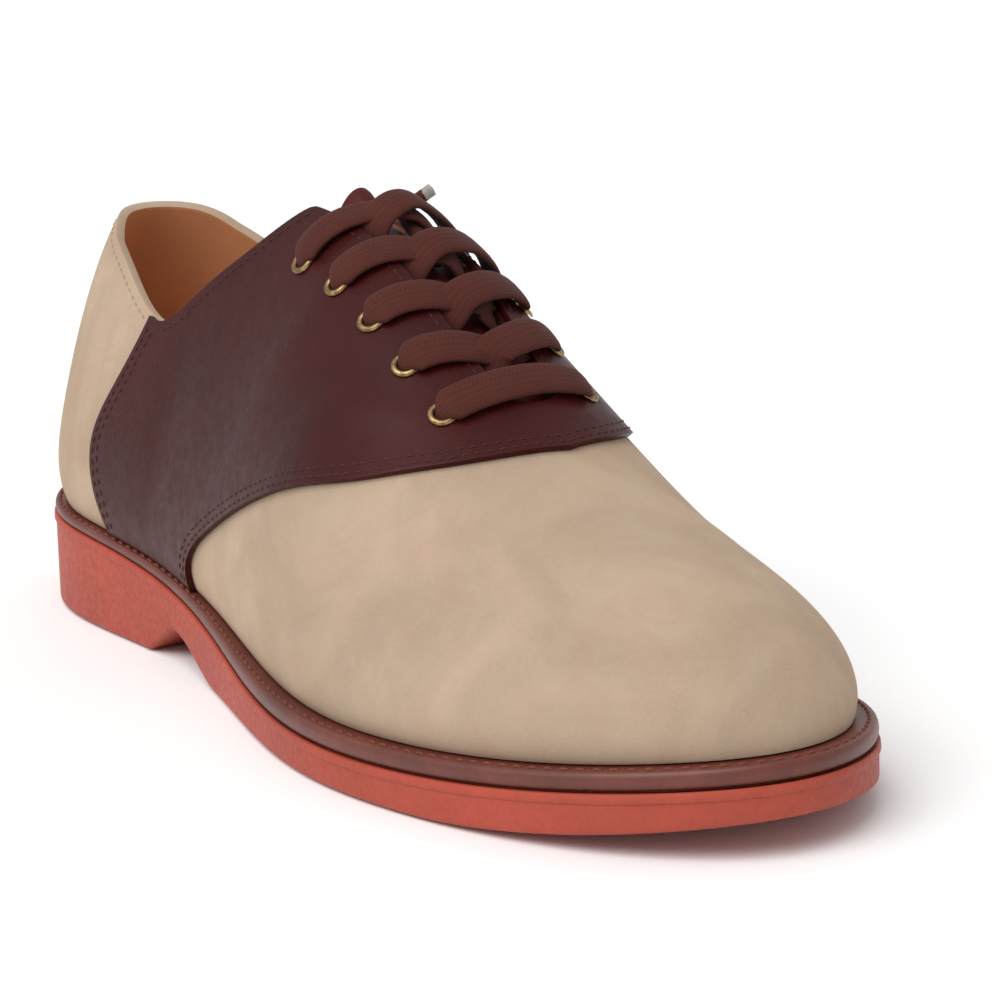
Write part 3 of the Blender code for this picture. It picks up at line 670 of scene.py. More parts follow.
def nubuck():
    """Tan nubuck: a short nap brushed lighter and darker, with fine pores."""
    colour = tuple(the_colours().nubuck)
    finish = Finish("nubuck", roughness=0.95, specular_ior_level=0.18, sheen_weight=0.25,
                    sheen_roughness=0.45)
    finish.shader.inputs["Sheen Tint"].default_value = (*shade(colour, 1.3), 1.0)
    clouds = finish.span(finish.noise(26, 5, 0.55, 0.8), 0.36, 0.66)
    patches = finish.span(finish.noise(62, 5, 0.6, 1.2, stretch=(1.0, 0.6, 1.2)), 0.40, 0.66)
    fibres = finish.noise(1500, 4, 0.7)
    fine = finish.span(fibres, 0.30, 0.70)
    base = finish.mix(clouds, shade(colour, 0.80), shade(colour, 1.08))
    brushed = (colour[0] * 0.86, colour[1] * 0.74, colour[2] * 0.70)
    base = finish.mix(finish.maths("MULTIPLY", patches, 0.40), base, brushed)
    base = finish.mix(finish.maths("MULTIPLY", fine, 0.30), base, shade(colour, 1.14))
    nap = finish.bump(fibres, 0.00016, 0.55)
    nap = finish.bump(finish.noise(260, 4, 0.6), 0.00022, 0.35, nap)
    finish.set(base_color=base, normal=nap)
    return finish.material


def smooth_leather(name, colour, roughness=0.36, coat=0.06, pull_up=1.35):
    """Polished calf: deep colour, a little lighter where it is stretched, with fine grain and a soft coat."""
    finish = Finish(name, roughness=roughness, specular_ior_level=0.14, coat_weight=coat, coat_roughness=0.25)
    broad = finish.span(finish.noise(24, 3, 0.5, 0.5), 0.36, 0.66)
    clouds = finish.span(finish.noise(130, 5, 0.6, 0.8), 0.38, 0.70)
    base = finish.mix(broad, shade(colour, 0.78), shade(colour, 1.12))
    base = finish.mix(finish.maths("MULTIPLY", clouds, 0.30), base, shade(colour, pull_up))
    cells = finish.cells(1050, "DISTANCE_TO_EDGE")
    grain = finish.bump(finish.span(cells, 0.0, 0.12), 0.00006, 0.35)
    grain = finish.bump(finish.noise(420, 4, 0.6), 0.00012, 0.30, grain)
    grain = finish.bump(finish.noise(70, 3, 0.5), 0.0006, 0.16, grain)
    dulled = finish.span(finish.noise(300, 4, 0.65), 0.3, 0.7, roughness - 0.06, roughness + 0.12)
    finish.set(base_color=base, roughness=dulled, normal=grain)
    return finish.material


def lining_leather():
    """Natural tan lining: matt, with fine darker pores."""
    colour = tuple(the_colours().lining)
    finish = Finish("lining_leather", roughness=0.62, specular_ior_level=0.3)
    broad = finish.span(finish.noise(40, 4, 0.55, 0.5), 0.35, 0.66)
    base = finish.mix(broad, shade(colour, 0.82), shade(colour, 1.10))
    pores = finish.span(finish.cells(900), 0.0, 0.35)
    base = finish.mix(finish.maths("MULTIPLY", pores, 0.25), shade(colour, 0.70), base)
    grain = finish.bump(finish.noise(900, 4, 0.6), 0.0001, 0.4)
    finish.set(base_color=base, normal=grain)
    return finish.material


def edge_leather():
    """Cut edge of the facings, stained to go with the saddle, with pale fibres where it is rubbed."""
    colour = tuple(the_colours().saddle)
    finish = Finish("edge_leather", roughness=0.7, specular_ior_level=0.3)
    rubbed = finish.span(finish.noise(260, 4, 0.6), 0.52, 0.70)
    base = finish.mix(rubbed, shade(colour, 0.9), shade(tuple(the_colours().lining), 0.8))
    finish.set(base_color=base, normal=finish.bump(finish.noise(1200, 3, 0.6), 0.0001, 0.4))
    return finish.material


def lace_cloth():
    """Woven lace: a fine herringbone over the piece's own UV map, with fine ribs along its length."""
    colour = tuple(the_colours().lace)
    finish = Finish("lace_cloth", roughness=0.85, specular_ior_level=0.18, sheen_weight=0.06,
                    sheen_roughness=0.4)
    uv = finish.coordinates.outputs["UV"]
    split = finish.node("SeparateXYZ", {"Vector": uv})
    along, around = split.outputs["X"], split.outputs["Y"]
    slanted = finish.maths("ADD", along, finish.maths("PINGPONG", around, 0.12))
    waves = finish.maths("SINE", finish.maths("MULTIPLY", slanted, 2 * pi * 16), 0.0)
    ribs = finish.maths("SINE", finish.maths("MULTIPLY", around, 2 * pi * 22), 0.0)
    weave = finish.maths("ADD", finish.maths("MULTIPLY", waves, 0.26), finish.maths("MULTIPLY", ribs, 0.22))
    weave = finish.maths("ADD", weave, 0.5)
    worn = finish.span(finish.noise(160, 4, 0.6), 0.35, 0.7)
    base = finish.mix(weave, shade(colour, 0.72), shade(colour, 1.15))
    base = finish.mix(finish.maths("MULTIPLY", worn, 0.3), base, shade(colour, 1.4))
    threads = finish.bump(weave, 0.00014, 0.55)
    threads = finish.bump(finish.noise(2600, 3, 0.6), 0.00008, 0.4, threads)
    finish.set(base_color=base, normal=threads)
    return finish.material


def lace_tip():
    """Dull grey tip of the lace: a wrapped film, a little creased."""
    finish = Finish("lace_tip", roughness=0.5, specular_ior_level=0.45)
    base = finish.mix(finish.noise(900, 3, 0.6), srgb(120, 112, 106), srgb(176, 170, 164))
    finish.set(base_color=base, normal=finish.bump(finish.noise(1500, 3, 0.6), 0.0001, 0.4))
    return finish.material


def aged_brass():
    """Antique brass eyelets: worn bright and brown in random patches."""
    colour = tuple(the_colours().brass)
    finish = Finish("antique_brass", metallic=1.0, roughness=0.34)
    worn = finish.span(finish.noise(700, 4, 0.6), 0.36, 0.64)
    base = finish.mix(worn, shade(colour, 0.45), shade(colour, 1.1))
    scratched = finish.bump(finish.noise(1400, 3, 0.6), 0.00004, 0.4)
    finish.set(base_color=base, normal=scratched, roughness=finish.span(worn, 0, 1, 0.5, 0.28))
    return finish.material


def thread_cotton(name, colour):
    """Waxed thread, twisted."""
    finish = Finish(name, roughness=0.6, specular_ior_level=0.35)
    base = finish.mix(finish.noise(900, 3, 0.6), shade(colour, 0.6), shade(colour, 1.3))
    finish.set(base_color=base, normal=finish.bump(finish.noise(2600, 2, 0.5), 0.00008, 0.5))
    return finish.material


def welt_leather():
    """Waxed mahogany welt, mottled, with darker patches at random."""
    colour = tuple(the_colours().welt)
    finish = Finish("welt_leather", roughness=0.45, specular_ior_level=0.45, coat_weight=0.15,
                    coat_roughness=0.3)
    broad = finish.span(finish.noise(60, 4, 0.6, 0.5), 0.35, 0.66)
    base = finish.mix(broad, shade(colour, 0.72), shade(colour, 1.15))
    streaks = finish.span(finish.noise(420, 4, 0.6, 0.3), 0.35, 0.7)
    base = finish.mix(finish.maths("MULTIPLY", streaks, 0.4), base, shade(colour, 0.55))
    grain = finish.bump(finish.noise(650, 4, 0.6), 0.00015, 0.4)
    finish.set(base_color=base, normal=grain)
    return finish.material


def sole_rubber():
    """Brick-red moulded rubber: satin, slightly mottled, with faint buffing marks along its side."""
    colour = tuple(the_colours().rubber)
    finish = Finish("rubber", roughness=0.55, specular_ior_level=0.4)
    broad = finish.span(finish.noise(30, 4, 0.6, 0.4), 0.35, 0.66)
    base = finish.mix(broad, shade(colour, 0.86), shade(colour, 1.06))
    specks = finish.span(finish.noise(700, 3, 0.6), 0.35, 0.7)
    base = finish.mix(finish.maths("MULTIPLY", specks, 0.25), base, shade(colour, 0.7))
    buffed = finish.noise(300, 3, 0.6, stretch=(0.25, 0.25, 4.0))
    surface = finish.bump(buffed, 0.0002, 0.25)
    surface = finish.bump(finish.noise(1100, 3, 0.6), 0.0001, 0.35, surface)
    finish.set(base_color=base, normal=surface, roughness=finish.span(specks, 0, 1, 0.48, 0.66))
    return finish.material


def skin_shares(last):
    """Stations of the upper's skin, with the corner and the throat's end among them."""
    throat = [last.throat_end - share * last.throat_rounding for share in (0, 0.05, 0.15, 0.3, 0.5, 0.75, 1)]
    corner = list(np.linspace(0.375, 0.425, 12))
    return stations(150, throat + corner + [last.breast])


class SHOE_OT_upper(bpy.types.Operator):
    """Vamp and counter of nubuck over their lining, one wall on the last."""

    bl_idname = "shoe.upper"
    bl_label = "Upper"

    def execute(self, context):
        last = the_last()
        sizes = last.sizes
        shares = skin_shares(last)
        count, rows = len(shares), 46

        def place(i, j):
            side = np.where(i < count, 1, -1)
            along = shares[np.where(i < count, count - 1 - i, i - count + 1)]
            end = last.rib_end(side, along)
            angle = end * (j / rows) ** 0.9
            return last.laid(side, along, angle)

        piece = lay_grid("upper_leather", 2 * count - 2, rows, place)
        face_out(piece, np.array((0, 0, 0.035)))
        lining = lining_leather()
        for material in (nubuck(), lining, edge_leather(), lining):
            piece.data.materials.append(material)
        self.stain_facings(piece, last)
        apply_modifier(piece, "SOLIDIFY", thickness=sizes.wall, offset=-1, use_even_offset=False,
                       use_rim=True, material_offset=1, material_offset_rim=0)
        round_edges(piece, 0.5 * MM, 2)
        pierce(piece, last)
        finish_piece(piece, [], "nubuck", "upper")
        return {"FINISHED"}

    def stain_facings(self, piece, last):
        """Give the faces along the facings' edges the dark edge leather."""
        centres = np.empty(len(piece.data.polygons) * 3)
        piece.data.polygons.foreach_get("center", centres)
        centres = centres.reshape(-1, 3)
        along = (centres[:, 1] + last.middle[1]) / last.length
        ridge = last.ridge_x(along) - last.middle[0]
        near = (along > last.throat_top - 0.09) & (along < last.throat_end + 0.012)
        near &= np.abs(centres[:, 0] - ridge) < 0.019
        near &= centres[:, 2] > last.edge_height(along) + 0.6 * last.ridge_height(along)
        piece.data.polygons.foreach_set("material_index", np.where(near, 2, 0).astype(np.int32))


def eyelet_frames(last):
    """Place and direction of every eyelet on the last: (side, number, place, outward)."""
    frames = []
    for side in (1, -1):
        for number, along in enumerate(last.eyelets()):
            angle = last.angle_at(side, along, last.eyelet_distance(side, along))
            frames.append((side, number, last.laid(side, along, angle), last.normal(side, along, angle)))
    return frames


def pierce(piece, last):
    """Cut the eyelets' holes through a leather."""
    deselect()
    drills = []
    for _, _, place, outward in eyelet_frames(last):
        bpy.ops.mesh.primitive_cylinder_add(vertices=24, radius=last.sizes.eyelet_hole / 2 + 0.3 * MM,
                                            depth=14 * MM, location=Vector(place),
                                            rotation=Vector(outward).to_track_quat("Z", "Y").to_euler())
        drills.append(bpy.context.object)
    deselect()
    for drill in drills:
        drill.select_set(True)
    bpy.context.view_layer.objects.active = drills[0]
    bpy.ops.object.join()
    drill = bpy.context.object
    apply_modifier(piece, "BOOLEAN", object=drill, operation="DIFFERENCE", solver="EXACT")
    bpy.data.objects.remove(drill, do_unlink=True)


def edge_shares(points):
    """Travelled length along a row of points."""
    steps = np.linalg.norm(np.diff(points, axis=0), axis=1)
    return np.concatenate([[0], np.cumsum(steps)])


def saddle_outline(last, side):
    """The saddle's back, front and top edges, as rows of (along, way up)."""
    low, high = 0.3, 0.7
    for _ in range(40):
        middle = (low + high) / 2
        inside = last.rib_end(side, last.back_edge(middle)) / (pi / 2) > middle
        low, high = (middle, high) if inside else (low, middle)
    back_top = (low + high) / 2
    foot = 0.02
    rise = np.linspace(0, 1, 200)
    back_up, front_up = foot + (back_top - foot) * rise, foot + (1 - foot) * rise
    back = np.stack([last.back_edge(back_up), back_up], axis=1)
    front = np.stack([last.front_edge(front_up), front_up], axis=1)
    ahead = last.throat_end - last.throat_rounding * (1 - np.sin(np.linspace(0, pi / 2, 60)))
    top = np.concatenate([np.linspace(back[-1, 0], last.throat_end - last.throat_rounding, 600)[:-1], ahead])
    top_up = last.rib_end(side, top) / (pi / 2) - 0.0015
    top_up[-1] = 1.0
    top = np.stack([top, top_up], axis=1)
    top[0] = back[-1]
    return back, front, top


def even(last, side, edge, count, corners=()):
    """The edge read again at even steps of its real length, with its corners kept."""
    points = last.point(side, edge[:, 0], edge[:, 1] * pi / 2)
    travelled = edge_shares(points)
    stops = [0] + list(corners) + [len(edge) - 1]
    total = travelled[-1]
    wanted = [travelled[:1]]
    used = 0
    for a, b in zip(stops, stops[1:]):
        share = (travelled[b] - travelled[a]) / total
        steps = max(int(round(share * count)), 1) if b != stops[-1] else count - used
        used += steps
        wanted.append(np.linspace(travelled[a], travelled[b], steps + 1)[1:])
    wanted = np.concatenate(wanted)
    return np.stack([np.interp(wanted, travelled, edge[:, i]) for i in range(2)], axis=1)


class SHOE_OT_saddle(bpy.types.Operator):
    """The oxblood saddle: one leather laid over the upper from its back edges to its front edge."""

    bl_idname = "shoe.saddle"
    bl_label = "Saddle"

    def execute(self, context):
        last = the_last()
        sizes = last.sizes
        columns, rows = 90, 140
        halves = {}
        for side in (1, -1):
            back, front, top = saddle_outline(last, side)
            rear = even(last, side, np.vstack([back, top[1:]]), rows, corners=[len(back) - 1])
            halves[side] = rear, even(last, side, front, rows)
        whole = 2 * columns + 1

        def place(i, j):
            side = np.where(i <= columns, 1, -1)
            share = (np.where(i <= columns, i, whole - i) / columns)[:, None]
            rear = np.where((side > 0)[:, None], halves[1][0][j], halves[-1][0][j])
            ahead = np.where((side > 0)[:, None], halves[1][1][j], halves[-1][1][j])
            flat = rear * (1 - share) + ahead * share
            return last.laid(side, flat[:, 0], flat[:, 1] * pi / 2, sizes.clearance)

        piece = lay_grid("saddle_leather", whole, rows, place, close=False)
        drop_between(piece, columns)
        edit(piece, weld)
        face_out(piece, np.array((0, 0, 0.035)))
        apply_modifier(piece, "SOLIDIFY", thickness=sizes.saddle, offset=1, use_even_offset=False)
        round_edges(piece, 0.45 * MM, 3)
        pierce(piece, last)
        colour = tuple(the_colours().saddle)
        finish_piece(piece, [smooth_leather("oxblood_leather", colour)], "oxblood_leather", "saddle")
        return {"FINISHED"}


def drop_between(piece, columns):
    """Remove the strip of faces that joins the outer half to the inner one at the grid's middle column."""
    loops = np.empty(len(piece.data.loops) * 2)
    piece.data.uv_layers.active.data.foreach_get("uv", loops)
    middles = loops.reshape(-1, 4, 2)[:, :, 0].mean(axis=1) * (2 * columns + 1)
    body = bmesh.new()
    body.from_mesh(piece.data)
    body.faces.ensure_lookup_table()
    doomed = [face for face in body.faces if abs(middles[face.index] - (columns + 0.5)) < 0.4]
    bmesh.ops.delete(body, geom=doomed, context="FACES")
    body.to_mesh(piece.data)
    body.free()


def inset(last, side, edge, distance, toward):
    """An edge in (along, way up), moved over the surface by a distance toward that direction."""
    along, angle = edge[:, 0], edge[:, 1] * pi / 2
    step = 0.002
    d_along = (last.point(side, along + step, angle) - last.point(side, along - step, angle)) / (2 * step)
    low, high = np.maximum(angle - step, 0), np.minimum(angle + step, pi / 2)
    d_angle = (last.point(side, along, high) - last.point(side, along, low)) / (high - low)[:, None]
    run = np.gradient(last.point(side, along, angle), axis=0)
    across = np.cross(np.cross(d_along, d_angle), run)
    across /= np.linalg.norm(across, axis=1)[:, None]
    hint = d_along * toward[0] + d_angle * toward[1]
    across *= np.sign((across * hint).sum(axis=1))[:, None]
    moved = np.empty_like(edge)
    for n in range(len(edge)):
        frame_here = np.stack([d_along[n], d_angle[n]], axis=1)
        change = np.linalg.lstsq(frame_here, across[n] * distance, rcond=None)[0]
        moved[n] = along[n] + change[0], (angle[n] + change[1]) / (pi / 2)
    moved[:, 1] = np.minimum(moved[:, 1], 1.0)
    return moved


def seam(last, side, edge, lift):
    """Places of a seam on the creased surface and the direction out of it."""
    along, angle = edge[:, 0], edge[:, 1] * pi / 2
    side = np.full(len(edge), side)
    return last.laid(side, along, angle, np.full(len(edge), lift)), last.normal(side, along, angle)


def sow(name, rows, length, gap, thread):
    """Stitches along rows of (places, directions out): one stitch is modelled and its copies joined."""
    deselect()
    bpy.ops.mesh.primitive_uv_sphere_add(segments=8, ring_count=6, radius=0.5)
    pattern = bpy.context.object
    flat = np.empty(len(pattern.data.vertices) * 3)
    pattern.data.vertices.foreach_get("co", flat)
    shape = flat.reshape(-1, 3)
    shape = np.sign(shape) * np.abs(shape * 2) ** 0.8 / 2
    shape[:, 2] -= 0.28 * (2 * shape[:, 0]) ** 2
    faces = np.array([list(face.vertices) + [face.vertices[-1]] * (4 - len(face.vertices))
                      for face in pattern.data.polygons])
    bpy.data.objects.remove(pattern, do_unlink=True)
    points, loops = [], []
    for places, outward in rows:
        travelled = edge_shares(places)
        count = int(travelled[-1] / (length + gap))
        at = (np.arange(count) + 0.5) * travelled[-1] / count
        ends = [np.stack([np.interp(at + half, travelled, places[:, i]) for i in range(3)], axis=1)
                for half in (-length / 2, length / 2)]
        out = np.stack([np.interp(at, travelled, outward[:, i]) for i in range(3)], axis=1)
        middle, run = (ends[0] + ends[1]) / 2, ends[1] - ends[0]
        run /= np.linalg.norm(run, axis=1)[:, None]
        across = np.cross(out, run)
        across /= np.linalg.norm(across, axis=1)[:, None]
        out = np.cross(run, across)
        for centre, x, y, z in zip(middle, run, across, out):
            loops.append(faces + len(points) * len(shape))
            lengthwise, sideways, upward = shape[:, :1] * x, shape[:, 1:2] * y, shape[:, 2:] * z
            points.append(centre + lengthwise * length + sideways * thread + upward * thread)
    mesh = bpy.data.meshes.new(name)
    mesh.from_pydata(np.concatenate(points).tolist(), [],
                     [tuple(dict.fromkeys(face)) for face in np.concatenate(loops).tolist()])
    piece = bpy.data.objects.new(name, mesh)
    bpy.context.collection.objects.link(piece)
    return piece


class SHOE_OT_seams(bpy.types.Operator):
    """Rows of stitches: two along the saddle's front and back edges, one round the collar and facings."""

    bl_idname = "shoe.seams"
    bl_label = "Seams"

    def execute(self, context):
        last = the_last()
        sizes = last.sizes
        on_saddle = sizes.clearance + sizes.saddle + 0.02 * MM
        dark, light = [], []
        for side in (1, -1):
            back, front, top = saddle_outline(last, side)
            for distance in (1.4 * MM, 3.4 * MM):
                dark.append(seam(last, side, inset(last, side, front[4:], distance, (-1, 0.2)), on_saddle))
            for distance in (1.4 * MM, 3.6 * MM):
                dark.append(seam(last, side, inset(last, side, back[4:-6], distance, (1, 0)), on_saddle))
            facing = top[(top[:, 0] > back[-1, 0] + 0.012) & (top[:, 0] < last.throat_end - 0.016)]
            dark.append(seam(last, side, inset(last, side, facing, 2.2 * MM, (0, -1)), on_saddle))
            shares = np.linspace(0.004, back[-1, 0] - 0.012, 160)
            collar = np.stack([shares, last.rib_end(side, shares) / (pi / 2)], axis=1)
            light.append(seam(last, side, inset(last, side, collar, 2.6 * MM, (0, -1)), 0.02 * MM))
        thread = thread_cotton("thread_dark", tuple(the_colours().thread))
        piece = sow("saddle_stitches", dark, sizes.stitch, sizes.stitch_gap, sizes.thread)
        finish_piece(piece, [thread], "oxblood_leather")
        piece = sow("collar_stitches", light, sizes.stitch, sizes.stitch_gap, sizes.thread)
        tan = thread_cotton("thread_tan", shade(tuple(the_colours().nubuck), 0.75))
        finish_piece(piece, [tan], "nubuck")
        self.welt(last)
        return {"FINISHED"}

    def welt(self, last):
        """Stitches round the top of the welt."""
        shares = stations(150)
        outer, inner = last.edge(shares, lambda s: last.welt_out(s) * 0.60)
        loop = np.vstack([outer, inner[-2::-1]])
        around = np.concatenate([shares, shares[-2::-1]])
        places = np.column_stack([loop, last.edge_height(around) + 0.10 * MM])
        outward = np.tile((0.0, 0.0, 1.0), (len(places), 1))
        piece = sow("welt_stitches", [(places, outward)], last.sizes.welt_stitch, 1.1 * MM, 0.8 * MM)
        thread = thread_cotton("thread_welt", shade(tuple(the_colours().welt), 1.2))
        finish_piece(piece, [thread], "welt_leather")


def tube_section(sides):
    angles = np.arange(sides + 1) * 2 * pi / sides
    return np.cos(angles), np.sin(angles)


def smooth_path(marks, steps):
    """Rows of numbers read from smooth curves through given ones."""
    marks = np.asarray(marks, dtype=float)
    at = np.linspace(0, 1, len(marks))
    share = np.linspace(0, 1, steps + 1)
    return np.stack([natural_cubic(at, marks[:, i])(share) for i in range(marks.shape[1])], axis=1)


def over_throat(last, rows):
    """Places over the throat for (across, along, lift) rows, and the direction out of the last at each."""
    across, along, lift = rows[:, 0], rows[:, 1], rows[:, 2]
    side = np.where(across >= 0, 1, -1)
    angle = last.angle_at(side, along, np.abs(across))
    outward = last.normal(side, along, angle)
    return last.point(side, along, angle) + outward * lift[:, None], outward


def sweep(name, path, outward, width, thickness, sides=20, flatness=2.6):
    """A flat lace along a path: a rounded oblong section whose width lies across the path."""
    run = np.gradient(path, axis=0)
    run /= np.linalg.norm(run, axis=1)[:, None]
    across = np.cross(run, outward)
    across /= np.linalg.norm(across, axis=1)[:, None]
    lift = np.cross(across, run)
    c, s = tube_section(sides)
    flat = np.sign(c) * np.abs(c) ** (2 / flatness), np.sign(s) * np.abs(s) ** (2 / 2.2)
    count = len(path)
    width = np.broadcast_to(width, count).copy()
    thickness = np.broadcast_to(thickness, count).copy()
    width[[0, -1]] = thickness[[0, -1]] = 0.0

    def place(i, j):
        return path[i] + across[i] * (width[i] / 2 * flat[0][j])[:, None] \
            + lift[i] * (thickness[i] / 2 * flat[1][j])[:, None]

    piece = lay_grid(name, count - 1, sides, place)
    travelled = edge_shares(path)
    set_uv(piece, travelled[-1])
    return piece


def set_uv(piece, length):
    """Stretch the grid's map so that one unit is ten millimetres along the lace."""
    layer = piece.data.uv_layers.active.data
    values = np.empty(len(layer) * 2)
    layer.foreach_get("uv", values)
    values = values.reshape(-1, 2)
    values[:, 0] *= length / (10 * MM)
    layer.foreach_set("uv", values.ravel())


class SHOE_OT_laces(bpy.types.Operator):
    """The bar over the lowest pair of eyelets and the crossing over each pair above it."""

    bl_idname = "shoe.laces"
    bl_label = "Laces"

    def execute(self, context):
        last = the_last()
        sizes = last.sizes
        cloth = lace_cloth()
        high = sizes.clearance * 2 + sizes.saddle + LACE_OVER_SADDLE + sizes.lace_thickness / 2
        shares = last.eyelets()
        lowest = shares[-1]
        reach = {side: last.eyelet_distance(side, lowest) for side in (1, -1)}
        marks = [(-1.02, 0.000, -4.0), (-1.02, 0.000, 0.3), (-0.93, 0.000, high / MM - 0.5),
                 (-0.70, 0.001, high / MM), (-0.25, 0.002, high / MM), (0.25, 0.002, high / MM),
                 (0.70, 0.001, high / MM), (0.93, 0.000, high / MM - 0.5), (1.02, 0.000, 0.3),
                 (1.02, 0.000, -4.0)]
        bar = self.strand(last, "lace_bar_cloth", [(a * reach[1 if a > 0 else -1], lowest + b, c * MM)
                                                    for a, b, c in marks])
        finish_piece(bar, [cloth], "lace_cloth", "lace_bar")
        for number, along in enumerate(shares[:-1]):
            pitch = shares[number + 1] - along
            gap = last.facing_gap(along + 0.55 * pitch)
            under_facing = -sizes.wall - 0.47 * MM
            above_end = 1.0 if number == 0 else 0.0
            under = (0.2 + above_end, 0.5 + above_end, 1.0 + above_end, 2.5, high / MM - 0.1)
            over = (1.6 + above_end, 2.8 + above_end, 3.5 + above_end, 3.9, high / MM + 0.4)
            for side, lifts in ((1, under), (-1, over)):
                reach = last.eyelet_distance(side, along)
                marks = [(-gap - 4 * MM, 0.60, under_facing), (-gap - 0.6 * MM, 0.57, under_facing),
                         (-gap + 2.4 * MM, 0.52, (lifts[0] - 1.2) * MM), (-0.16 * reach, 0.43, lifts[1] * MM),
                         (0.10 * reach, 0.34, lifts[2] * MM), (0.36 * reach, 0.24, lifts[3] * MM),
                         (0.68 * reach, 0.10, lifts[4] * MM), (0.93 * reach, 0.01, high - 0.5 * MM),
                         (1.02 * reach, 0.0, 0.3 * MM), (1.02 * reach, 0.0, -4 * MM)]
                name = f"lace_{'outer' if side > 0 else 'inner'}_{number + 1}"
                route = [(side * a, along + b * pitch, c) for a, b, c in marks]
                strand = self.strand(last, name, route, tucked=True)
                finish_piece(strand, [cloth], "lace_cloth", f"lace_crossing_{number + 1}")
        return {"FINISHED"}

    def strand(self, last, name, marks, tucked=False):
        """One strand through listed marks, gathered where it goes into an eyelet."""
        sizes, steps = last.sizes, 110
        path, outward = over_throat(last, smooth_path(marks, steps))
        travelled = edge_shares(path)
        from_start, from_end = travelled, travelled[-1] - travelled
        gathered = 1 - blend(from_end, GATHER_START, GATHER_END)
        pressed = np.zeros(steps + 1)
        if tucked:
            pressed = 1 - blend(from_start, PRESS_START, PRESS_END)
        else:
            gathered = np.maximum(gathered, 1 - blend(from_start, GATHER_START, GATHER_END))
        width = sizes.lace_width + (GATHERED_WIDTH - sizes.lace_width) * gathered
        thickness = sizes.lace_thickness + (GATHERED_THICKNESS - sizes.lace_thickness) * gathered
        thickness += (PRESSED_THICKNESS - thickness) * pressed
        return sweep(name, path, outward, width, thickness)


class SHOE_OT_lace_end(bpy.types.Operator):
    """The lace's loose end, tucked under the crossings, with its tip out behind the top one."""

    bl_idname = "shoe.lace_end"
    bl_label = "Lace end"

    def execute(self, context):
        last = the_last()
        sizes = last.sizes
        rows = smooth_path(LACE_END_ROUTE, 60)
        rows[:, 0] *= MM
        rows[:, 2] *= MM
        path, outward = over_throat(last, rows)
        piece = sweep("lace_end_cloth", path, outward, sizes.lace_end, sizes.lace_end, flatness=2.2)
        finish_piece(piece, [lace_cloth(), lace_tip()], "lace_cloth", "lace_end")
        for face in piece.data.polygons:
            face.material_index = int((face.center - Vector(path[-1])).length < TIP_LENGTH)
        return {"FINISHED"}


class SHOE_OT_eyelets(bpy.types.Operator):
    """Brass eyelets: a rolled flange and a barrel, modelled once and set in every hole."""

    bl_idname = "shoe.eyelets"
    bl_label = "Eyelets"

    def execute(self, context):
        last = the_last()
        sizes = last.sizes
        hole, outer = sizes.eyelet_hole / 2, sizes.eyelet_flange / 2
        top = sizes.clearance * 2 + sizes.saddle
        profile = [(hole, -sizes.wall), (hole, top)]
        middle, half = (hole + outer) / 2, (outer - hole) / 2
        profile += [(middle - half * cos(a), top + EYELET_CROWN * sin(a)) for a in np.linspace(0.1, pi, 9)]
        profile += [(outer - 0.25 * MM, top - 0.02 * MM), (hole + 0.35 * MM, top - 0.02 * MM),
                    (hole + 0.35 * MM, -sizes.wall), (hole, -sizes.wall)]
        radii, levels = np.array(profile).T
        around = 48

        def place(i, j):
            angle = 2 * pi * i / around
            return np.stack([radii[j] * np.cos(angle), radii[j] * np.sin(angle), levels[j]], axis=1)

        brass = aged_brass()
        pattern = lay_grid("eyelet_pattern", around, len(profile) - 1, place)
        for side, number, spot, outward in eyelet_frames(last):
            name = "outer" if side > 0 else "inner"
            ring = bpy.data.objects.new(f"eyelet_ring_{name}_{number + 1}", pattern.data.copy())
            bpy.context.collection.objects.link(ring)
            turned = Vector(outward).to_track_quat("Z", "Y").to_matrix().to_4x4()
            ring.data.transform(Matrix.Translation(Vector(spot)) @ turned)
            finish_piece(ring, [brass], "antique_brass", f"eyelet_{name}_{number + 1}", smooth=50)
        bpy.data.objects.remove(pattern, do_unlink=True)
        return {"FINISHED"}


class SHOE_OT_tongue(bpy.types.Operator):
    """The tongue under the facings, crowned at its top."""

    bl_idname = "shoe.tongue"
    bl_label = "Tongue"

    def execute(self, context):
        last = the_last()
        sizes = last.sizes
        low, high = last.throat_end + 10 * MM / last.length, last.throat_top
        columns, rows = 60, 80
        sink = sizes.wall + TONGUE_BELOW_WALL

        def place(i, j):
            share, across = j / rows, 2 * i / columns - 1
            half = sizes.tongue_width / 2 * (0.72 + 0.28 * share) * (1 - 0.10 * blend(share, 0.9, 1.0))
            distance = half * np.abs(across)
            side = np.where(across >= 0, 1, -1)
            corner = 3 * MM / last.length * np.abs(across) ** 3 * blend(share, 0.85, 1.0)
            along = low + (high - low) * share + corner
            angle = last.angle_at(side, along, distance)
            arch = np.cos(np.minimum(distance / TONGUE_CROWN_HALF_WIDTH, 1) * pi / 2) ** 2
            crown = TONGUE_CROWN * blend(share, 0.86, 1.0) * arch
            lean = TONGUE_LEAN * blend(share, 0.75, 0.95)
            lift = crown - sink - lean
            return last.point(side, along, angle) + last.normal(side, along, angle) * lift[:, None]

        piece = lay_grid("tongue_leather_piece", columns, rows, place)
        face_out(piece, np.array((0, 0, 0.035)))
        apply_modifier(piece, "SOLIDIFY", thickness=sizes.tongue, offset=-1, use_even_offset=False)
        round_edges(piece, 0.7 * MM, 3)
        leather = smooth_leather("tongue_leather", tuple(the_colours().tongue), roughness=0.5, coat=0.08)
        finish_piece(piece, [leather], "tongue_leather", "tongue")
        return {"FINISHED"}


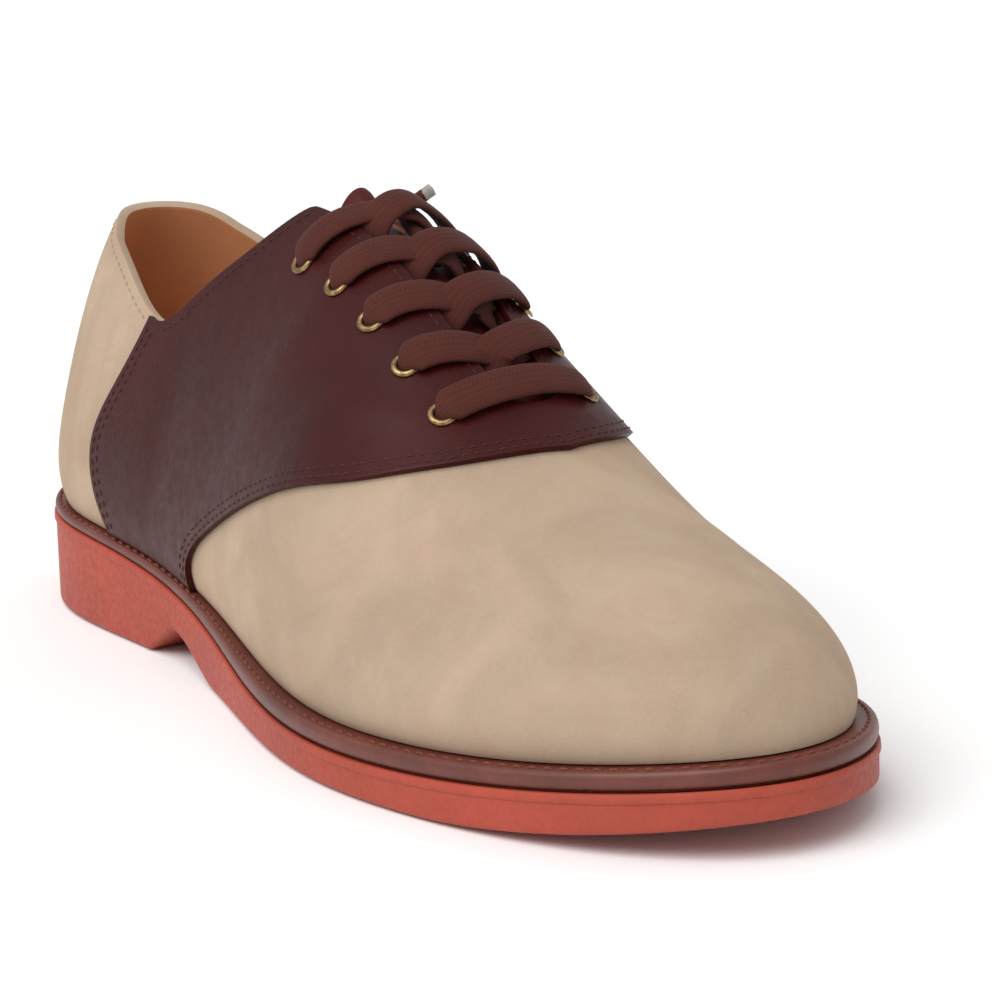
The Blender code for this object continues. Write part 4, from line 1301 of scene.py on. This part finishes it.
class SHOE_OT_welt(bpy.types.Operator):
    """The welt round the shoe, its top sloping a little to a rounded edge."""

    bl_idname = "shoe.welt"
    bl_label = "Welt"

    def execute(self, context):
        last = the_last()
        sizes = last.sizes
        shares = stations(150)
        count = len(shares)
        thick, out = last.welt_thickness, last.welt_out
        ring = [(lambda s: 0 * s - sizes.wall, lambda s: last.edge_height(s) - thick(s)),
                (lambda s: out(s) - 0.3 * MM, lambda s: last.edge_height(s) - thick(s))]
        for angle in np.linspace(-pi / 2, pi / 2, 9):
            ring.append((lambda s, a=angle: out(s) - 0.45 * thick(s) * (1 - cos(a)) * 0.6,
                         lambda s, a=angle: last.edge_height(s) - thick(s) * (0.5 - 0.5 * sin(a))))
        ring += [(lambda s: out(s) * 0.62, lambda s: last.edge_height(s) + 0.02 * MM),
                 (lambda s: 0 * s + 0.5 * MM, lambda s: last.edge_height(s) - 0.15 * MM),
                 (lambda s: 0 * s - sizes.wall, lambda s: last.edge_height(s)),
                 (lambda s: 0 * s - sizes.wall, lambda s: last.edge_height(s) - thick(s))]
        piece = loft_ring("welt_strip", last, shares, ring)
        finish_piece(piece, [welt_leather()], "welt_leather", "welt", smooth=50)
        return {"FINISHED"}


def loft_ring(name, last, shares, ring):
    """A section, given as (how far out, height) functions, carried round the whole edge of the last."""
    count = len(shares)
    table = []
    for out, height in ring:
        outer, inner = last.edge(shares, out)
        loop = np.vstack([outer, inner[-2:0:-1], outer[:1]])
        heights = height(np.concatenate([shares, shares[-2:0:-1], shares[:1]]))
        table.append(np.column_stack([loop, heights]))
    table = np.array(table)
    return lay_grid(name, 2 * count - 2, len(ring) - 1, lambda i, j: table[j, i])


class SHOE_OT_outsole(bpy.types.Operator):
    """The rubber unit: heel, waist and sole, with a rounded lip along the top of its side."""

    bl_idname = "shoe.outsole"
    bl_label = "Outsole"

    def execute(self, context):
        last = the_last()
        slope = last.breast + last.breast_slope
        special = [last.breast - 0.003, last.breast, last.breast + 0.003, slope - 0.003, slope, slope + 0.003]
        shares = stations(150, special)
        out, top, low = last.welt_out, last.rubber_top, last.underside
        lip = last.lip_out
        levels = [(lambda s: out(s) - 1.2 * MM, low),
                  (lambda s: out(s) - 0.5 * MM, lambda s: low(s) + 0.25 * MM),
                  (lambda s: out(s) - 0.1 * MM, lambda s: low(s) + 0.7 * MM),
                  (out, lambda s: low(s) + 1.2 * MM),
                  (out, lambda s: top(s) - 3.1 * MM), (out, lambda s: top(s) - 2.5 * MM)]
        for angle in np.linspace(-pi / 2, pi / 2, 7):
            levels.append((lambda s, a=angle: out(s) + lip * cos(a) - (0.0 if a < 0 else 0.1 * MM),
                           lambda s, a=angle: top(s) - 1.15 * MM + 1.1 * MM * sin(a)))
        sides = [last.edge(shares, level[0]) for level in levels]
        heights = [level[1](shares) for level in levels]
        across = 12
        rows = []
        for k in range(across // 2, 0, -1):
            middle = (sides[0][0] + sides[0][1]) / 2
            toward = 1 - k / (across // 2)
            rows.append(np.column_stack([middle + (sides[0][0] - middle) * toward, heights[0]]))
        for (outer, _), height in zip(sides, heights):
            rows.append(np.column_stack([outer, height]))
        middle = (sides[-1][0] + sides[-1][1]) / 2
        for k in range(1, across):
            share = 1 - 2 * k / across
            edge = sides[-1][0] if share >= 0 else sides[-1][1]
            rows.append(np.column_stack([middle + (edge - middle) * abs(share), heights[-1]]))
        for (_, inner), height in zip(reversed(sides), reversed(heights)):
            rows.append(np.column_stack([inner, height]))
        for k in range(1, across // 2 + 1):
            middle = (sides[0][0] + sides[0][1]) / 2
            toward = 1 - k / (across // 2)
            rows.append(np.column_stack([middle + (sides[0][1] - middle) * toward, heights[0]]))
        table = np.array(rows)
        piece = lay_grid("sole_unit", len(shares) - 1, len(table) - 1, lambda i, j: table[j, i])
        finish_piece(piece, [sole_rubber()], "rubber", "outsole", smooth=35)
        return {"FINISHED"}


class SHOE_OT_insole(bpy.types.Operator):
    """The leather sock on the insole."""

    bl_idname = "shoe.insole"
    bl_label = "Insole"

    def execute(self, context):
        last = the_last()
        sizes = last.sizes
        shares = stations(110)
        inset = lambda s: 0 * s - (sizes.wall + 2 * sizes.clearance)
        outer, inner = last.edge(shares, inset)
        top = last.edge_height(shares) + 1.5 * MM
        low = last.rubber_top(shares) + sizes.clearance
        across = 16
        rows = []
        for k in range(across + 1):
            share = k / across
            dish = 0.6 * MM * (1 - (2 * share - 1) ** 2)
            rows.append(np.column_stack([outer + (inner - outer) * share, top - dish]))
        rows += [np.column_stack([inner, low]), np.column_stack([outer, low]), np.column_stack([outer, top])]
        table = np.array(rows)
        piece = lay_grid("sock", len(shares) - 1, len(table) - 1, lambda i, j: table[j, i])
        finish_piece(piece, [lining_leather()], "sock_leather", "insole", smooth=50)
        return {"FINISHED"}


class SHOE_OT_stage(bpy.types.Operator):
    """Camera, pale floor and soft light."""

    bl_idname = "shoe.stage"
    bl_label = "Stage"

    def execute(self, context):
        self.camera(context)
        self.floor()
        self.lights()
        return {"FINISHED"}

    def camera(self, context):
        azimuth, elevation, distance, roll = 2.5859, 0.2310, 0.8988, -0.0288
        target = Vector((-0.0327, -0.0100, 0.0378))
        away = Vector((cos(elevation) * sin(azimuth), -cos(elevation) * cos(azimuth), sin(elevation)))
        right = (-away).cross(Vector((0, 0, 1))).normalized()
        up = right.cross(-away)
        turned_right = right * cos(roll) + up * sin(roll)
        turned_up = up * cos(roll) - right * sin(roll)
        place = Matrix((turned_right, turned_up, away)).transposed().to_4x4()
        place.translation = target + away * distance
        bpy.ops.object.camera_add()
        camera = bpy.context.object
        camera.matrix_world = place
        camera.data.sensor_width = 36.0
        camera.data.lens = 3855.8 * 36.0 / 1000
        camera.data.clip_end = 50
        context.scene.camera = camera

    def floor(self):
        deselect()
        bpy.ops.mesh.primitive_plane_add(size=14, location=(0, 0, -0.0004))
        floor = bpy.context.object
        floor.name = "floor"
        finish = Finish("floor_white", roughness=0.9)
        tone = finish.mix(finish.noise(3, 2), (0.965, 0.965, 0.965), (0.985, 0.985, 0.985))
        finish.set(base_color=tone)
        floor.data.materials.append(finish.material)

    def lights(self):
        world = bpy.data.worlds.new("studio")
        world.use_nodes = True
        background = world.node_tree.nodes["Background"]
        background.inputs["Color"].default_value = (1, 1, 1, 1)
        background.inputs["Strength"].default_value = 0.60
        bpy.context.scene.world = world
        bpy.context.scene.view_settings.view_transform = "Standard"
        suns = (("key", (0.80, 0.35, 1.3), 50, 1.7), ("side", (1.2, -0.2, 0.9), 40, 0.5))
        for name, place, spread, power in suns:
            bpy.ops.object.light_add(type="SUN", location=place)
            lamp = bpy.context.object
            lamp.name = name
            lamp.data.angle = radians(spread)
            lamp.data.energy = power
            lamp.rotation_euler = Vector(place).to_track_quat("Z", "Y").to_euler()


class SHOE_PT_panel(bpy.types.Panel):
    """Sizes, colours and pieces of the shoe."""

    bl_idname = "SHOE_PT_panel"
    bl_label = "Saddle oxford"
    bl_space_type = "VIEW_3D"
    bl_region_type = "UI"
    bl_category = "Shoe"

    def draw(self, context):
        for group in (context.scene.shoe_sizes, context.scene.shoe_colours):
            box = self.layout.box()
            for name in group.__annotations__:
                box.prop(group, name)
        for maker in PIECES:
            self.layout.operator(maker.bl_idname)


PIECES = (SHOE_OT_stage, SHOE_OT_lace_end, SHOE_OT_outsole, SHOE_OT_welt, SHOE_OT_insole, SHOE_OT_upper,
          SHOE_OT_saddle, SHOE_OT_seams, SHOE_OT_tongue, SHOE_OT_eyelets, SHOE_OT_laces)
CLASSES = (ShoeSizes, ShoeColours, SHOE_PT_panel) + PIECES


def register():
    for kind in CLASSES:
        bpy.utils.register_class(kind)
    bpy.types.Scene.shoe_sizes = PointerProperty(type=ShoeSizes)
    bpy.types.Scene.shoe_colours = PointerProperty(type=ShoeColours)


def unregister():
    del bpy.types.Scene.shoe_colours
    del bpy.types.Scene.shoe_sizes
    for kind in reversed(CLASSES):
        bpy.utils.unregister_class(kind)


def main():
    register()
    for maker in PIECES:
        name = maker.bl_idname.split(".")[1]
        getattr(bpy.ops.shoe, name)()


if __name__ == "__main__":
    main()
